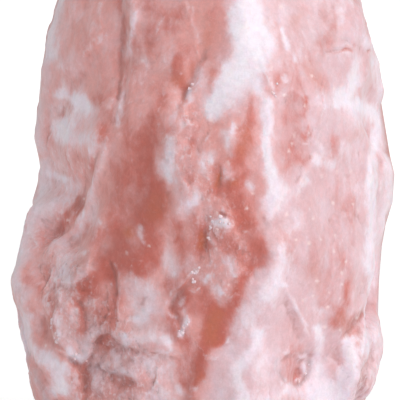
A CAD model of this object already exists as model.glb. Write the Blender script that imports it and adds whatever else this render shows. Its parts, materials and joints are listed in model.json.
import json
import math

import bmesh
import bpy
import numpy as np
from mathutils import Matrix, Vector, noise

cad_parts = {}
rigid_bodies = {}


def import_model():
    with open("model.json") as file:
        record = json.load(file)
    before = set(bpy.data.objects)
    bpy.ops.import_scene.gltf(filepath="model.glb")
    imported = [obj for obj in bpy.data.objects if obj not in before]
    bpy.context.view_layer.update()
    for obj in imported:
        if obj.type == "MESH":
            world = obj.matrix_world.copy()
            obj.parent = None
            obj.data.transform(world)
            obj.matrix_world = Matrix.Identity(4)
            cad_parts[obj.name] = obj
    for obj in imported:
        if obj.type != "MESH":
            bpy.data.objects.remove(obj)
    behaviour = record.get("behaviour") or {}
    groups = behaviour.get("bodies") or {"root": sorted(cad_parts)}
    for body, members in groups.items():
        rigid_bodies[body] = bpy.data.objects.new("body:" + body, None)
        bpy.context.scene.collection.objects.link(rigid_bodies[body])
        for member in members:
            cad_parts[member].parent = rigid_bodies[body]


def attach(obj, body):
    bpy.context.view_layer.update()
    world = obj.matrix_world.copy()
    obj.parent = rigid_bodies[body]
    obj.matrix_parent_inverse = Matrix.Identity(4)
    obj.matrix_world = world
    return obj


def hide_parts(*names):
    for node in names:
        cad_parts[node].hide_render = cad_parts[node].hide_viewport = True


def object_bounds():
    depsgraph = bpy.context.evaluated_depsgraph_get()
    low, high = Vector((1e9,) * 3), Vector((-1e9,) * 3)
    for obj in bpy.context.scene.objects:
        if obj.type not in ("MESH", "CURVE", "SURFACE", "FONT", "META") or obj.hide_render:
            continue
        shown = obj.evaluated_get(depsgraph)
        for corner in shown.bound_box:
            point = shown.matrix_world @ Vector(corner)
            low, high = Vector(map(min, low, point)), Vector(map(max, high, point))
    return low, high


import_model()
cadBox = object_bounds()
print("packed model loaded")

mm = 0.001

# marks on each side of the stone, in mm: strength, soft edge, line of (across, height, half width)
milkFront = [
    # the main band, its branches and the wisps above the picture
    (1.0, 2.2, [(8.6, 212.2, 3.3), (12.2, 202, 3.3), (15.9, 193.2, 5.1), (14, 183.8, 4), (15.9, 171.4, 5.8),
        (15.1, 157.5, 4.7), (15.1, 152, 5.5), (15.9, 146.6, 6.7), (18.4, 142.2, 6.6), (17.7, 137.1, 5.5),
        (16.6, 133.4, 4.4), (17.3, 129.8, 2.2), (18.8, 125.4, 1.1)]),
    (0.85, 1.8, [(15.9, 170.6, 2.9), (21.7, 179.4, 2.2), (24.6, 188.9, 1.5), (29.7, 196.9, 1.1)]),
    (0.7, 2.2, [(12.9, 181.6, 2.9), (5.7, 188.1, 2.2), (2, 196.2, 1.5)]),
    (0.5, 1.8, [(-16.2, 172.1, 1.1), (-12.6, 180.8, 1.8), (-15.5, 188.1, 1.1)]),
    (0.45, 1.8, [(41.4, 168.4, 1.5), (38.5, 176.5, 2.2), (42.8, 183, 1.5)]),
    (1.0, 1.8, [(15.1, 137.1, 3.6), (12.2, 132.7, 4.7), (9.3, 128.3, 4.7), (6.7, 124, 4), (4.2, 120, 2.9),
        (2, 117.4, 2.2), (0.9, 116.3, 0.7)]),
    (0.6, 2.6, [(13.7, 126.9, 2.6), (11.5, 122.9, 2.6), (8.6, 118.9, 2.6), (6.4, 115.9, 1.8)]),
    (0.75, 1.8, [(19.5, 126.2, 1.5), (20.6, 122.5, 1.1), (21.7, 119.6, 1.1)]),
    (1.0, 1.1, [(23.2, 119.6, 0.9), (23.2, 115.6, 1.5), (23.2, 110.1, 1.5), (22.8, 104.6, 1.6)]),
    (0.95, 1.8, [(22.4, 102.8, 1.8), (22.8, 97.3, 1.8), (24.2, 93.3, 2.2), (25.7, 89.7, 2.4),
        (25.3, 86.4, 2.4), (24.2, 82.8, 1.8), (23.5, 79.8, 1.1)]),
    (0.5, 2.2, [(27.9, 89.7, 1.8), (29, 86.4, 1.8), (27.2, 82.4, 1.5)]),
    # left face
    (0.75, 1.5, [(-53.4, 122.5, 1.1), (-51.2, 123.6, 1.8), (-49.4, 121.8, 1.1)]),
    (0.85, 1.5, [(-46.9, 121.4, 1.5), (-44.7, 120.7, 2.6), (-43.2, 118.9, 1.8)]),
    (0.65, 2.2, [(-43.9, 118.1, 2.2), (-46.9, 116.3, 2.2), (-49, 113.8, 2.2), (-50.5, 110.8, 2.2),
        (-51.6, 107.9, 1.8)]),
    (0.3, 2.6, [(-41, 116.7, 2.6), (-42.5, 113, 2.6)]),
    (0.5, 2.2, [(-51.2, 110.1, 2.6), (-49.8, 107.6, 2.6), (-46.9, 106.5, 2.2)]),
    (0.48, 1.8, [(-43.9, 107.6, 1.8), (-41.4, 105, 2.2), (-41.7, 101.7, 1.5)]),
    (0.4, 1.8, [(-53.4, 111.6, 1.8), (-53.4, 107.2, 1.8)]),
    (0.6, 1.1, [(-56.3, 94.4, 1.5), (-52.7, 93, 1.1), (-49.4, 91.9, 0.9)]),
    (0.4, 2.2, [(-51.6, 89.7, 2.2), (-48.3, 87.5, 1.8), (-49.8, 84.6, 1.8), (-53.4, 84.6, 1.8)]),
    (0.28, 1.5, [(-35.9, 105.4, 1.5), (-35.5, 102.1, 1.5), (-36.6, 99.2, 0.7)]),
    (0.35, 1.8, [(-41.4, 82.4, 1.5), (-41.7, 79.5, 2.2), (-39.2, 76.9, 1.5)]),
    (0.8, 0.7, [(-43.9, 79.8, 0.7), (-44.7, 78, 0.5)]),
    (0.5, 1.5, [(-44.7, 75.8, 1.1), (-45.4, 73.3, 1.1), (-46.9, 70.7, 1.1)]),
    (0.5, 1.1, [(-52.3, 70.4, 1.1), (-53.4, 68.9, 1.1)]),
    # upper face
    (0.5, 1.1, [(-25.3, 153.1, 0.4), (-25.7, 150.9, 0.7), (-26.1, 147.3, 0.7), (-26.8, 144.4, 0.5)]),
    (0.35, 1.1, [(-27.5, 141.5, 0.7), (-27.5, 137.5, 0.7)]),
    (0.55, 1.1, [(-29.4, 124, 0.7), (-30.4, 120.7, 1.1), (-31.2, 117.4, 1.1), (-31.9, 114.5, 0.9),
        (-32.3, 111.6, 0.7)]),
    (0.25, 1.8, [(-21.7, 156.4, 1.5), (-23.9, 153.9, 1.5)]),
    (0.6, 0.7, [(-38.1, 156, 0.4), (-38.1, 152.4, 0.4)]),
    (0.4, 0.7, [(-6.7, 156.8, 0.5), (-4.6, 153.9, 0.5), (-3.8, 150.2, 0.4), (-3.1, 146.6, 0.5),
        (-2.4, 142.2, 0.4)]),
    (0.25, 1.1, [(-16.2, 154.6, 0.5), (-15.1, 151.7, 0.5), (-17, 147.3, 0.5), (-17.7, 143.7, 0.5)]),
    (0.2, 1.8, [(-14.4, 138.5, 1.5), (-14.4, 134.9, 1.5), (-14, 131.3, 1.1)]),
    (0.3, 1.8, [(-21.7, 134.9, 0.7), (-20.6, 131.3, 1.5), (-24.2, 127.6, 1.8)]),
    (0.4, 1.1, [(-52.3, 133.1, 1.1)]),
    (0.3, 1.8, [(-50.1, 126.5, 1.8), (-48.3, 127.6, 1.1)]),
    (0.25, 1.1, [(-11.1, 123.6, 1.1), (-10, 124, 0.7)]),
    (0.3, 1.5, [(-10.4, 119.6, 1.1), (-10.8, 116.7, 1.5), (-9.7, 114.5, 1.8)]),
    (0.4, 1.1, [(-7.5, 111.6, 1.1)]),
    (0.95, 0.7, [(-6, 124.3, 0.5), (-5.3, 124.7, 0.5)]),
    (0.55, 1.1, [(-5.3, 122.5, 1.5), (-4.2, 121, 1.1)]),
    (0.5, 1.8, [(-1.3, 131.3, 1.1), (-0.9, 128.3, 1.5), (-2.4, 126.9, 1.1)]),
    # middle
    (0.75, 2.2, [(-12.6, 104.3, 1.5), (-13.3, 99.9, 2.2), (-13.3, 95.5, 2.6), (-12.2, 92.2, 1.8)]),
    (0.4, 1.5, [(-8.6, 102.8, 1.1), (-6.7, 103.2, 1.1)]),
    (0.3, 1.5, [(-5.7, 96.3, 1.5), (-7.5, 98.4, 1.5)]),
    (0.65, 1.8, [(-0.9, 95.5, 1.5), (-0.2, 98.4, 1.8), (2, 100.3, 1.5)]),
    (0.7, 0.7, [(2.7, 98.4, 0.9)]),
    (0.6, 1.8, [(-3.1, 88.2, 1.1), (-3.8, 84.6, 2.2), (-6.7, 82.8, 2.2), (-8.6, 80.9, 1.1)]),
    (0.5, 1.5, [(-3.1, 86, 1.1), (-3.8, 83.5, 1.1)]),
    (0.8, 1.1, [(4.9, 76.2, 1.5), (6.7, 76.9, 2), (8.6, 76.2, 1.5)]),
    (0.55, 1.1, [(-23.2, 75.1, 1.1), (-22.8, 72.2, 1.3), (-22.4, 69.3, 0.4)]),
    (0.4, 1.1, [(-15.1, 74, 0.5), (-14, 71.5, 0.7), (-12.9, 67.8, 0.7)]),
    (0.4, 1.8, [(-12.9, 64.9, 1.1), (-12.6, 61.3, 1.5), (-11.1, 58.3, 1.5)]),
    (0.25, 2.2, [(-7.1, 62, 2.6), (-5.3, 63.4, 1.8)]),
    (0.38, 1.5, [(6.4, 108.7, 1.5), (8.9, 108.7, 1.5), (8.9, 104.3, 1.5), (9.7, 101.4, 0.7)]),
    (0.8, 0.7, [(10.8, 112.3, 0.5), (11.1, 108.7, 0.5)]),
    (0.55, 1.1, [(16.2, 90.4, 0.9), (17, 89, 0.9)]),
    (0.35, 1.1, [(3.8, 66.4, 0.7), (2.7, 62, 1.1)]),
    (0.3, 1.1, [(6.4, 65.6, 0.7), (7.1, 62, 0.7)]),
    (0.95, 0.9, [(2, 56.5, 0.7), (0.9, 54.7, 0.7)]),
    (0.5, 1.5, [(9.3, 63.4, 1.8), (9.7, 60.5, 1.8), (10, 58, 1.5)]),
    (0.7, 0.7, [(11.5, 56.9, 0.5)]),
    (0.55, 1.5, [(4.2, 51.8, 1.8), (5.7, 50, 1.1)]),
    (0.8, 0.5, [(5.7, 50.3, 0.5)]),
    # low on the left
    (0.52, 2.2, [(-26.4, 55.4, 1.5), (-23.9, 53.6, 2.2), (-25, 50, 2.6), (-25.7, 45.6, 2.6),
        (-24.2, 41.9, 2.2)]),
    (0.44, 2.6, [(-21.3, 52.1, 1.5), (-19.5, 48.9, 2.4), (-19.5, 45.2, 2.4), (-21, 41.9, 1.8)]),
    (0.42, 1.1, [(-22.4, 50.7, 1.1), (-21, 47.4, 0.7), (-21.3, 43.4, 1.1)]),
    (0.6, 1.1, [(-25, 40.5, 1.1), (-23.2, 40.5, 1.1)]),
    (0.4, 1.5, [(-27.9, 54.3, 1.1), (-28.6, 51.8, 0.7)]),
    (0.5, 1.8, [(-28.6, 34.6, 1.1), (-26.1, 33.9, 1.1), (-22.8, 33.9, 1.1), (-19.9, 35, 1.8),
        (-17, 34.3, 1.8)]),
    (0.8, 1.1, [(-29.7, 34.6, 1.1), (-28.6, 32.8, 0.9)]),
    (0.85, 1.1, [(-14.4, 33.5, 1.5), (-13.3, 31.4, 1.3), (-12.6, 29.2, 0.5)]),
    (0.4, 2.2, [(-18, 37.2, 2.2)]),
    (0.65, 2.2, [(-17, 27.7, 1.5), (-19.9, 24.8, 2.2), (-18.4, 21.9, 2.2), (-16.2, 21.9, 1.5)]),
    (0.55, 2.2, [(-17, 13.1, 2.9), (-20.6, 10.9, 2.9), (-12.6, 13.1, 1.8), (-16.2, 2.6, 3.6)]),
    (0.55, 0.9, [(-9.3, 15.3, 1.1), (-8.6, 14.6, 1.1)]),
    (0.3, 2.2, [(-12.6, 24.1, 2.2), (-13.3, 19, 1.8)]),
    (0.6, 0.7, [(-3.1, 16.4, 0.7)]),
    (0.5, 0.9, [(-0.2, 18.6, 0.7)]),
    (0.5, 0.7, [(-12.6, 43.4, 0.5), (-11.1, 41.2, 0.7)]),
    (0.8, 0.7, [(-6.4, 40.1, 0.9), (-7.1, 38.6, 0.7)]),
    (0.95, 0.5, [(-8.2, 37.2, 0.7), (-8.2, 35.7, 0.5)]),
    (0.25, 1.1, [(-6.4, 43.8, 0.7), (-6, 41.6, 0.7)]),
    (0.25, 0.7, [(-7.5, 48.9, 0.7), (-8.2, 47, 0.7)]),
    (0.45, 1.8, [(-53.8, 58.3, 1.8), (-50.5, 57.6, 2.2), (-48.7, 55.4, 1.8)]),
    (0.4, 1.8, [(-50.5, 62, 2.2), (-47.6, 64.2, 1.5)]),
    (0.5, 0.9, [(-44.3, 65.3, 1.1)]),
    (0.55, 0.9, [(-54.5, 41.2, 1.1), (-53.4, 40.1, 1.1)]),
    (0.6, 0.7, [(-54.5, 37.2, 0.7), (-53.4, 36.1, 1.1), (-52.7, 34.3, 0.7)]),
    (0.6, 0.5, [(-53.4, 33.2, 0.5)]),
    (0.4, 0.7, [(-47.9, 44.5, 0.5), (-48.3, 40.8, 0.7)]),
    (0.4, 0.7, [(-46.5, 44.5, 0.5), (-46.5, 40.1, 0.5)]),
    (0.4, 1.1, [(-42.8, 47, 1.1), (-41.7, 48.1, 1.1)]),
    (0.5, 1.5, [(-41, 38.6, 1.5), (-40.7, 36.8, 1.5), (-40.3, 35, 1.1)]),
    (0.7, 1.1, [(-49, 29.2, 1.5), (-47.6, 28.4, 1.5), (-45.4, 27.3, 1.5), (-43.9, 26.6, 0.9)]),
    (0.8, 1.8, [(-58.5, 27.3, 2.2), (-55.6, 25.5, 2.9), (-53.4, 22.6, 3.3), (-52.7, 19, 3.3),
        (-51.2, 16, 2.6), (-54.1, 16, 2.2)]),
    (0.5, 1.5, [(-64.4, 41.6, 1.8), (-64.4, 37.9, 1.8), (-63.6, 33.5, 1.5), (-62.5, 29.9, 1.5),
        (-60.7, 26.3, 1.5)]),
    (0.5, 1.1, [(-33, 29.2, 1.1), (-32.3, 27.7, 1.1)]),
    (0.6, 0.9, [(-33.7, 23, 0.7), (-31.5, 23, 0.9), (-29, 22.2, 0.9), (-27.2, 21.1, 0.7)]),
    (0.35, 1.8, [(-39.6, 21.9, 1.8), (-38.1, 19.7, 2.2), (-35.9, 20.4, 1.5), (-38.8, 16.8, 2.2)]),
    (0.3, 1.1, [(-33, 15.3, 1.1)]),
    (0.45, 2.2, [(-54.9, 146.6, 2.2), (-56.3, 137.8, 2.2)]),
    (0.22, 2.9, [(-55.6, 89, 2.9), (-52, 83.1, 3.3), (-57.1, 75.1, 2.6)]),
    # rims and veils
    (0.6, 1.5, [(-68.4, 43, 1.1), (-67.6, 38.6, 1.5), (-66.9, 32.8, 1.8)]),
    (0.45, 1.5, [(62.2, 134.9, 1.1), (63.6, 127.6, 1.1), (64.7, 121, 1.1)]),
    (0.18, 3.3, [(53, 90.4, 2.9), (54.5, 84.6, 2.9)]),
    (0.4, 1.5, [(65.4, 116.7, 1.5), (66.5, 106.5, 1.5), (66.9, 95.5, 1.8), (66.9, 84.6, 1.8),
        (65.4, 73.6, 1.5)]),
    (0.2, 2.6, [(-47.6, 90.4, 2.2), (-44.7, 87.9, 1.5)]),
    (0.25, 2.2, [(31.9, 142.9, 2.2), (33.4, 137.8, 2.2)]),
    # front foot and round the pit
    (0.75, 2.2, [(27.5, 67.8, 1.1), (27.9, 62, 1.6), (27.2, 58.7, 1.5), (25.7, 54.3, 1.8),
        (23.5, 50, 2.7)]),
    (0.42, 2.9, [(21.7, 51.8, 2.6), (18.8, 47, 3.3), (16.2, 42.3, 3.3), (15.5, 37.9, 2.9)]),
    (0.3, 2.9, [(23.2, 48.1, 2.6), (22.4, 42.7, 2.2), (21, 37.2, 2.2)]),
    (0.9, 1.5, [(19.5, 35.7, 1.5), (18.4, 32.4, 1.5), (17, 29.2, 1.5), (15.1, 26.3, 1.5),
        (12.2, 23.3, 1.5)]),
    (0.75, 1.8, [(12.2, 19.7, 1.8), (12.9, 16, 1.8), (14, 12.4, 1.8), (14.4, 0.7, 2.2)]),
    (0.35, 2.9, [(8.6, 27.7, 2.9), (7.8, 21.1, 3.3), (6.4, 14.6, 3.6), (6.4, 2.6, 4.4)]),
    (0.5, 2.9, [(22.4, 29.2, 2.6), (21, 24.1, 3.3), (21, 19, 2.9)]),
    (0.6, 2.6, [(16.6, 8, 5.1), (25.7, 12.4, 2.9), (23.9, 2.6, 5.1)]),
    (0.35, 1.5, [(10, 31.7, 1.5), (8.6, 33.5, 0.7)]),
    (0.6, 0.5, [(8.9, 35, 0.4), (7.5, 32.4, 0.4)]),
    (0.45, 0.7, [(34.1, 27.3, 0.7), (36.6, 27.7, 0.9)]),
    (0.45, 0.7, [(35.9, 24.8, 0.9), (35.9, 22.2, 0.7)]),
    (0.6, 0.7, [(33.5, 19, 0.7)]),
    (0.45, 0.7, [(29.4, 19.7, 0.5), (30.4, 20.2, 0.5)]),
    (0.6, 0.7, [(30.3, 16.8, 0.7), (29.7, 14.6, 0.7)]),
    (0.3, 1.8, [(-60.7, 42.3, 1.8), (-60.7, 37.2, 2.2)]),
    (0.3, 2.2, [(46.5, 32.1, 1.5), (46.9, 27.7, 1.8)]),
    (0.8, 1.5, [(41, 37.2, 1.8), (42.1, 32.8, 1.5), (41.4, 29.2, 1.1)]),
    (0.8, 2.2, [(40.7, 25.5, 1.8), (41, 21.1, 2.6), (39.2, 16.8, 3.3)]),
    (0.9, 1.8, [(43.9, 14.6, 3.6), (41.4, 12.4, 4.4), (43.9, 2.6, 5.1)]),
    (0.6, 1.5, [(30.1, 17.5, 1.1), (29.4, 14.6, 1.1), (33.4, 13.9, 2.2)]),
    # low on the right
    (0.5, 0.5, [(31.9, 49.6, 0.3), (33.7, 46.3, 0.3), (35.5, 42.7, 0.4), (37.4, 39, 0.4)]),
    (0.8, 0.7, [(28.3, 53.6, 0.7), (30.1, 54, 0.7)]),
    (1.0, 1.5, [(51.6, 32.8, 1.5), (52.3, 29.9, 2.2), (53.4, 26.3, 2.2), (53.8, 22.6, 2.2), (52.7, 19, 2.2),
        (51.6, 15.3, 2.6), (49.4, 10.9, 2.9)]),
    (0.7, 2.2, [(50.1, 21.9, 1.5), (48.7, 17.5, 2.2), (47.2, 13.9, 2.6)]),
    (0.6, 0.7, [(53.8, 35, 0.7), (55.2, 34.3, 0.7), (54.9, 32.8, 0.7)]),
    (0.7, 1.5, [(58.5, 35, 1.5), (58.9, 31.7, 1.5), (57.4, 29.2, 1.5)]),
    (0.4, 1.5, [(62.5, 39, 1.5), (63.3, 33.5, 1.5), (63.3, 29.2, 1.5)]),
    (0.9, 1.5, [(61.4, 118.1, 1.5), (62.5, 113.8, 1.1), (62.9, 108.7, 1.5), (62.5, 104.3, 1.5),
        (61.4, 101.4, 1.1), (60.7, 97, 1.5), (60.7, 93.3, 1.5), (61.1, 88.2, 1.3), (60.7, 84.6, 1.3),
        (61.1, 80.2, 0.9), (60.7, 75.8, 1.1), (60.7, 71.5, 1.5), (60, 66.4, 1.6), (60, 62, 1.6),
        (60.7, 56.9, 1.5), (61.4, 51.8, 0.9)]),
    (0.4, 1.8, [(58.2, 89.7, 1.5), (57.4, 86, 1.5), (58.5, 82.8, 1.1)]),
    # upper right
    (0.9, 2.2, [(55.2, 133.4, 1.1), (54.9, 129.8, 1.8), (54.1, 126.2, 2.2), (52, 123.2, 2.6),
        (50.9, 120.7, 2.2), (54.5, 119.6, 2.9), (57.8, 118.1, 2.2), (59.6, 116.7, 1.8)]),
    (0.6, 1.8, [(47.6, 122.1, 1.8), (48.7, 118.9, 1.5)]),
    (0.4, 2.6, [(53, 113.8, 2.6), (57.4, 112.3, 2.2)]),
    (0.4, 1.5, [(56, 136.4, 1.1)]),
    (0.35, 1.5, [(23.5, 153.1, 0.7), (25.3, 147.3, 1.1)]),
    (0.35, 1.8, [(28.6, 135.6, 1.5), (31.9, 133.4, 1.5), (35.5, 129.8, 1.5)]),
    (0.8, 0.9, [(28.3, 146.6, 0.7), (29, 144, 0.9), (30.4, 141.5, 1.1)]),
    (0.8, 0.7, [(32.6, 137.8, 0.5), (33, 136, 0.7)]),
    (0.6, 0.7, [(28.6, 129.4, 0.7), (29.7, 128, 0.7)]),
    (0.5, 0.7, [(25, 126.2, 0.5), (25.3, 124, 0.5)]),
    (0.5, 1.5, [(50.5, 156.8, 1.5), (50.1, 153.1, 1.1), (50.1, 149.5, 0.9)]),
    (0.4, 1.5, [(27.5, 156, 0.7), (29, 153.1, 1.5), (28.6, 149.5, 1.1)]),
    (0.4, 1.5, [(58.5, 144.7, 1.5), (59.6, 141.5, 1.5)]),
    # right face and round the oval
    (0.35, 1.5, [(39.6, 114.5, 0.5), (39.9, 110.1, 0.7)]),
    (0.35, 1.8, [(41, 120.3, 1.5), (43.9, 119.6, 1.5)]),
    (0.7, 0.7, [(47.9, 118.5, 0.7)]),
    (0.7, 0.7, [(40.7, 100.6, 0.7), (40.7, 99.2, 0.5)]),
    (0.55, 1.5, [(42.1, 105, 1.1), (43.2, 101.7, 1.5), (41.4, 98.1, 1.5), (45.8, 98.1, 1.5)]),
    (0.4, 1.5, [(51.2, 105, 1.5), (50.1, 102.8, 1.1)]),
    (0.5, 1.5, [(36.3, 93.3, 1.1), (37, 91.1, 1.1), (34.8, 89, 1.5), (34.5, 86.8, 0.7)]),
    (0.5, 1.8, [(30.8, 88.2, 1.8)]),
    (0.5, 2.2, [(33.4, 78.8, 1.8), (34.1, 75.8, 2.2), (31.2, 75.1, 1.5)]),
    (0.5, 0.9, [(51.2, 79.5, 0.7), (50.5, 78, 0.5)]),
    (0.3, 1.5, [(42.8, 64.2, 1.5), (43.6, 62, 1.1)]),
    (0.5, 1.5, [(42.8, 43.4, 1.5), (41.4, 44.5, 1.1)]),
]
milk = {
    "front": milkFront,
    "right": [
        (0.7, 0.8, [(30, 176, 0.8), (36, 158, 1.3), (30, 142, 0.8)]),
        (0.7, 0.8, [(10, 88, 1), (22, 80, 1.4), (34, 84, 0.7)]),
        (0.6, 0.8, [(38, 60, 0.8), (44, 44, 1.4), (40, 26, 0.8)]),
        (0.9, 1, [(-20, 190, 6), (-14, 160, 8), (-8, 130, 6), (-2, 100, 5), (-4, 70, 6), (-10, 40, 7),
            (-8, 10, 9)]),
        (0.7, 1.2, [(30, 158, 5), (34, 130, 8), (26, 100, 5)]),
        (0.6, 1.5, [(24, 70, 4), (22, 40, 7), (20, 10, 9)]),
    ],
    "back": [
        (0.8, 0.8, [(-2, 178, 1.2), (-15, 152, 1), (-17, 130, 1.5), (-31, 104, 0.8)]),
        (0.7, 0.8, [(33, 152, 0.9), (27, 132, 1.6), (32, 112, 1), (27, 94, 0.6)]),
        (0.7, 0.8, [(-42, 62, 0.8), (-31, 53, 1.3), (-23, 40, 0.8)]),
        (0.7, 0.8, [(10, 44, 0.8), (19, 32, 1.3), (16, 12, 0.9)]),
        (0.75, 1, [(-40, 132, 1.4), (-34, 120, 2), (-40, 110, 1)]),
        (0.75, 1, [(46, 96, 1.8), (40, 90, 2.4), (33, 92, 1)]),
        (0.7, 0.8, [(-6, 92, 1.2), (-12, 86, 1.8)]),
        (0.95, 1.5, [(-16, 205, 9), (-6, 176, 8), (8, 152, 8), (22, 132, 6), (36, 108, 6), (50, 84, 4)]),
        (0.8, 1.2, [(8, 152, 5), (-8, 130, 5), (-22, 106, 6), (-28, 78, 4), (-24, 58, 3)]),
        (0.5, 2.5, [(-22, 106, 7), (-36, 88, 7)]),
        (0.7, 2, [(-54, 148, 6), (-50, 126, 8), (-52, 108, 5)]),
        (0.8, 2.5, [(36, 52, 7), (26, 30, 11), (30, 6, 12)]),
        (0.7, 2, [(-26, 40, 6), (-20, 22, 7), (-28, 4, 9)]),
        (0.7, 1, [(22, 132, 3), (24, 112, 3), (20, 94, 2)]),
        (0.6, 1.5, [(4, 66, 4), (10, 56, 3)]),
        (0.5, 1.5, [(50, 62, 4), (56, 48, 5)]),
        (0.45, 2, [(30, 186, 4), (40, 166, 4)]),
    ],
    "left": [
        (0.7, 0.8, [(-30, 172, 0.8), (-36, 152, 1.3), (-31, 138, 0.8)]),
        (0.7, 0.8, [(-12, 84, 1), (-24, 76, 1.5), (-36, 80, 0.7)]),
        (0.6, 1.2, [(20, 120, 6), (12, 100, 8), (16, 80, 4)]),
        (0.75, 1.5, [(-20, 160, 6), (-26, 130, 8), (-18, 105, 5)]),
        (0.7, 1.5, [(0, 50, 8), (10, 25, 10)]),
        (0.6, 1, [(-32, 60, 5), (-28, 35, 6)]),
        (0.7, 1.5, [(-8, 192, 6), (-16, 172, 4)]),
        (0.6, 2, [(-44, 92, 5), (-48, 68, 6)]),
    ],
}
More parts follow.
